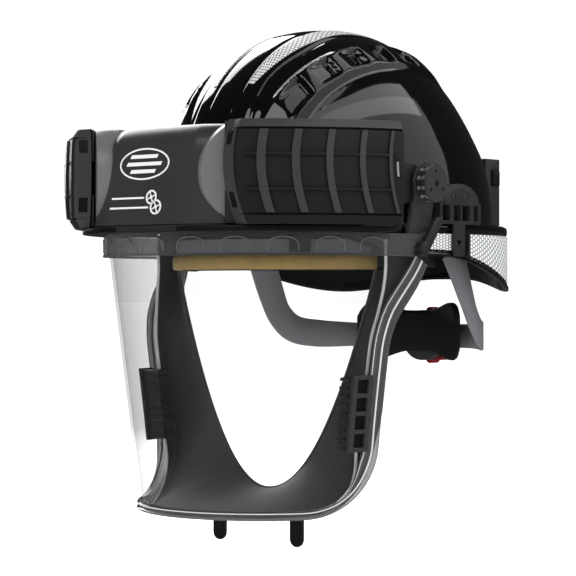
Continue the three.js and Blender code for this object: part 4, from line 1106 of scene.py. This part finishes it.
def knob():
    """A flat disc with a stepped face and a castellated edge."""
    profile = [(7, 0), (11.4, 0), (12.4, 0.8), (12.4, 2.2), (11, 2.6), (11, 3.4), (12.8, 3.8), (13, 4.6), (13, 7.4)]
    points, faces = disc(PIVOT, (1, 0, 0), profile + [(12.2, 8.4), (9, 8.4)], 66)
    shaped = []
    for x, y, z in points:
        angle, radius = round_pivot(y, z)
        notch = 1 - 0.07 * in_notch(angle) * (radius > 12.5) * (x < PIVOT[0] + 7)
        shaped.append((x, PIVOT[1] + (y - PIVOT[1]) * notch, PIVOT[2] + (z - PIVOT[2]) * notch))
    return shaped, faces


def knob_holes():
    """Three small holes round the face and a screw recess in its middle, drawn as thin near-black caps: painted shade.
    """
    face = PIVOT[0] + 8.2
    parts = []
    for d in (95, 215, 335):
        hole = (face, PIVOT[1] + 8 * math.cos(math.radians(d)), PIVOT[2] + 8 * math.sin(math.radians(d)))
        parts.append(disc(hole, (1, 0, 0), [(1.1, 0), (1.1, 0.35), (0.7, 0.4)], 12))
    parts.append(disc((face, *PIVOT[1:]), (1, 0, 0), [(2.2, 0), (2.2, 0.3), (1.6, 0.42)], 16))
    return joined(parts)


def is_notch_glint(centre):
    """True where the middle of a face lies in one of the knob's notches, on either side. These faces get a paler grey
    as painted highlight.
    """
    angle, radius = round_pivot(centre.y, centre.z)
    return radius > 11 and abs(centre.x) < PIVOT[0] + 7.2 and in_notch(angle)


# The knob's notches are painted paler grey: painted highlight on the castellated edge.
pair("knob_disc", knob(), HOUSING, "knob_{}", "satin_black", ["{}_pivot_knob"], sharp=30, second=(GREY, is_notch_glint))
# The holes' near-black is painted shade.
pair("knob_holes", knob_holes(), DEEP_AND_SHADE, "knob_{}", "satin_black")
flange = disc((111.7, PIVOT[1], PIVOT[2]), (1, 0, 0), [(14.2, 0), (14.6, 0.3), (14.2, 0.8), (13, 0.8)], 48)
pair("knob_flange", flange, EAR_CLEAR, "front_unit", "clear")


def arm_bracket():
    """The tapered web between the pod's rear end and the pivot."""
    outline = [(-96, 12), (-96, 50), (-84, 49), (-40, 43), (-28, 38), (-24, 30.5), (-28, 23), (-40, 18.5), (-84, 12)]
    return loft([[(x, y, z) for y, z in outline] for x in (103.2, 107.6)])


pair("arm_web", arm_bracket(), SATIN, "front_unit", "satin_black", bevel=1.2)

# ---- harness
ARM_KNOTS = [(88, 26, -13), (88.5, 31, -23), (89, 41, -44), (88.5, 50, -60), (85, 63, -71), (76, 80, -74.5),
             (58, 98, -75.3), (36, 109.5, -75.5), (21, 113, -75.5)]


def nape_arm(count=70):
    """A strap on a curve through ARM_KNOTS, wider at its upper end, whose outer side faces away from the head."""
    line, last = [], len(ARM_KNOTS) - 1
    for t in steps(0, last, count):
        k = min(int(t), last - 1)
        f = t - k
        p = [Vector(ARM_KNOTS[min(max(k + i, 0), last)]) for i in (-1, 0, 1, 2)]
        line.append(0.5 * ((2 * p[1]) + (p[2] - p[0]) * f + (2 * p[0] - 5 * p[1] + 4 * p[2] - p[3]) * f * f
                           + (3 * p[1] - p[0] - 3 * p[2] + p[3]) * f ** 3))
    rings = []
    for k, p in enumerate(line):
        tangent = direction(line, k)
        away = Vector((p.x, p.y - 20, 0))
        away = (away - tangent * away.dot(tangent)).normalized()
        across = away.cross(tangent)
        h = (27 - 6 * smooth((k / count - 0.05) / 0.35) - 3 * smooth((k / count - 0.6) / 0.2)) / 2
        section = [(0.7 - h, 0), (h - 0.7, 0), (h, 0.7), (h, 1.5), (h - 0.7, 2.2), (0.7 - h, 2.2), (-h, 1.5), (-h, 0.7)]
        rings.append([tuple(p + across * w + away * t) for w, t in section])
    return loft(rings)


pair("nape_strap", nape_arm(), ARM_GREY, "nape_unit", "grey_plastic", ["{}_nape_arm"], sharp=50)

NAPE_RADIUS, NAPE_Y, NAPE_Z, NAPE_REACH = 82, 26, -72, 0.62


def nape_pad():
    """A padded strip round the nape, with a lobe at each side of a narrow waist."""
    rings = []
    for a in steps(-NAPE_REACH, NAPE_REACH, 48):
        half = 15.5 + 6 * smooth((abs(a) - 0.11) / 0.32) - 5 * smooth((abs(a) - 0.5) / 0.12)
        round_off = math.sqrt(max(0.02, 1 - (max(0, abs(a) - 0.53) / 0.092) ** 2))
        half *= 0.55 + 0.45 * round_off
        ring = []
        for c, s in turns(12):
            radius = NAPE_RADIUS + 2.5 * squared(s, 0.6) * round_off ** 0.5
            ring.append((radius * math.sin(a), NAPE_Y + radius * math.cos(a), NAPE_Z + half * squared(c, 0.35)))
        rings.append(ring)
    return loft(rings)


pad = piece("nape_cushion", nape_pad(), RUBBER, "nape_unit", "rubber_black", ["nape_pad"], sharp=60)


def head_point(angle, grow):
    """A point on the headband's oval, which is 0 at the brow."""
    return ((80 + grow) * math.sin(angle), -20 - (98 + grow) * math.cos(angle))


def head_band():
    """A flat strap with bevelled edges, open at the back."""
    section = [(0, -24.4), (0.5, -25), (1.5, -25), (2, -24.4), (2, -5.6), (1.5, -5), (0.5, -5), (0, -5.6)]
    return loft([[(*head_point(a, o), z) for o, z in section] for a in steps(-2.15, 2.15, 90)])


piece("head_strap", head_band(), SATIN, "helmet", "grey_plastic", ["headband"], sharp=60)


def sweat_pad():
    """A quilted sleeve round the front of the headband."""
    rings = []
    for a in steps(-1.15, 1.15, 120):
        quilt = 0.5 * abs(math.sin(a * 18))
        ends = smooth((1.17 - abs(a)) / 0.05)
        section = []
        for c, s in turns(12):
            o = 0.2 + (4.2 + quilt) * squared(c, 0.6) * (0.6 + 0.4 * ends)
            z = -15 + (12.4 * ends + 0.5) * squared(s, 0.5)
            section.append((*head_point(a, o), z))
        rings.append(section)
    return loft(rings)


sweat = piece("sweat_pad", sweat_pad(), RUBBER, "helmet", "foam", ["sweatband"], sharp=60)


def cradle():
    """Four straps that rise from the shell's rim to the crown, and a hub, to which disc gives no width."""
    section = [(-9.5, 0.2), (-9.2, 0), (9.2, 0), (9.5, 0.2), (9.5, 1.4), (9.2, 1.6), (-9.2, 1.6), (-9.5, 1.4)]
    parts = []
    for angle in (0.62, -0.62, math.pi - 0.75, 0.75 - math.pi):
        knots = []
        for rise in steps(0.02, math.pi / 2, 9):
            up, out = math.sin(rise), math.cos(rise)
            inset = 26 * up ** 2 + 11
            knots.append(Vector(((HALF_WIDTH - inset) * math.sin(angle) * out,
                                 -(HALF_LENGTH - inset) * math.cos(angle) * out, (HEIGHT - inset) * up + 2)))
        side = Vector((math.cos(angle), math.sin(angle), 0))
        rings = []
        for k, p in enumerate(knots):
            normal = direction(knots, k).cross(side)
            normal = -normal if normal.z < 0 or normal.dot(Vector((p.x, p.y, 1))) < 0 else normal
            rings.append([tuple(p + side * w + normal * t) for w, t in section])
        parts.append(loft(rings))
    parts.append(disc((0, 0, 108.6), (0, 0, 1), [(16, 0), (17, 0.4), (17, 1.8), (16, 2.2), (4, 2.4)]))
    return joined(parts)


piece("crown_webbing", cradle(), WEBBING, "helmet", "webbing", ["crown_cradle"], sharp=50)

# ---- chin tabs
def chin_tab():
    """A flat tab with a round lower end."""
    half, top, centre = 5.6, -176, -210.2
    outline = [(-half, top)] + [(half * c, centre + half * s) for c, s in arc(180, 360, 16)] + [(half, top)]
    return loft([[(35 + x, y, z) for x, z in outline] for y in (-80.4, -77.6)])


pair("chin_pull", chin_tab(), RUBBER, "front_unit", "rubber_black", ["{}_chin_tab"], bevel=0.6)

# ---- battery bridge
def battery_shroud():
    """The moulded bridge between the shell's back and the battery."""
    def point(x, z, at_battery):
        dome = HALF_LENGTH * (1 - (z / HEIGHT) ** FULLNESS) ** (1 / FULLNESS) * math.sqrt(1 - (x / HALF_WIDTH) ** 2)
        return (x, 138.6 if at_battery else dome + crown_shift(z) - 1, z)

    return slab(point, steps(-37, 37, 16), steps(9, 57, 12), False, True)


piece("battery_shroud", battery_shroud(), SATIN, "helmet", "satin_black", sharp=40)

# ---- side cover details
def cover_mark():
    """A plain raised oval with three strokes on the arch of the accessory cover."""
    inside, outside = 112.3, 112.85
    corners = ((0, inside), (0, outside), (0.8, outside), (0.8, inside))
    rings = [[(x, 3 + (11 - inset) * c, 23.6 + (4.6 - inset) * s) for c, s in turns(36)] for inset, x in corners]
    strokes = [box(inside, outside, y, y + 1.4, 21.4, 25.8) for y in (-2.6, 1.6, 5.8)]
    return joined([grid(rings, closed=True, wrap=True), *strokes])


pair("cover_mark", cover_mark(), SATIN, "helmet", "satin_black")

# ---- CAD nodes that keep their shape
DRESSED = [  # material, rounding, nodes
    (SATIN, 0.3, "harness_key_front_{0} harness_key_rear_{0}"),
    (SATIN, 0.4, "{0}_filter_case"),
    (SATIN, 0.5, "{0}_accessory_cover battery_cradle housing_rear_cover"),
    (SATIN, 0.6, "ratchet_housing"),
    (SATIN, 0.8, "{0}_visor_latch"),
    (SATIN, 1.2, "battery_case"),
    (STEEL, 0.3, "{0}_fan_motor {0}_pivot_bolt"),
    (GREY, 0.1, "{0}_fan_rotor"),
    (PAPER, 0, "{0}_filter_element"),
    (DEEP_AND_SHADE, 0.3, "battery_lid"),
    # The base plate's deep black is its own black plus painted shade: it stays dark under the housing though the floor
    # lights it.
    (DEEP_AND_SHADE, 0.5, "{0}_battery_latch base_plate"),
    (RED, 0.6, "size_wheel"),
    (BLUE, 0, "battery_cell_lower battery_cell_upper"),
    (RUBBER, 0.4, "power_button"),
    (RUBBER, 0, "power_lead"),
    (EAR_CLEAR, 0.2, "status_lens"),
    (BOARD, 0.1, "control_board"),
]
for material, rounding, nodes in DRESSED:
    for node in sorted({name.format(side) for name in nodes.split() for side in ("left", "right")}):
        dress(node, material, rounding)
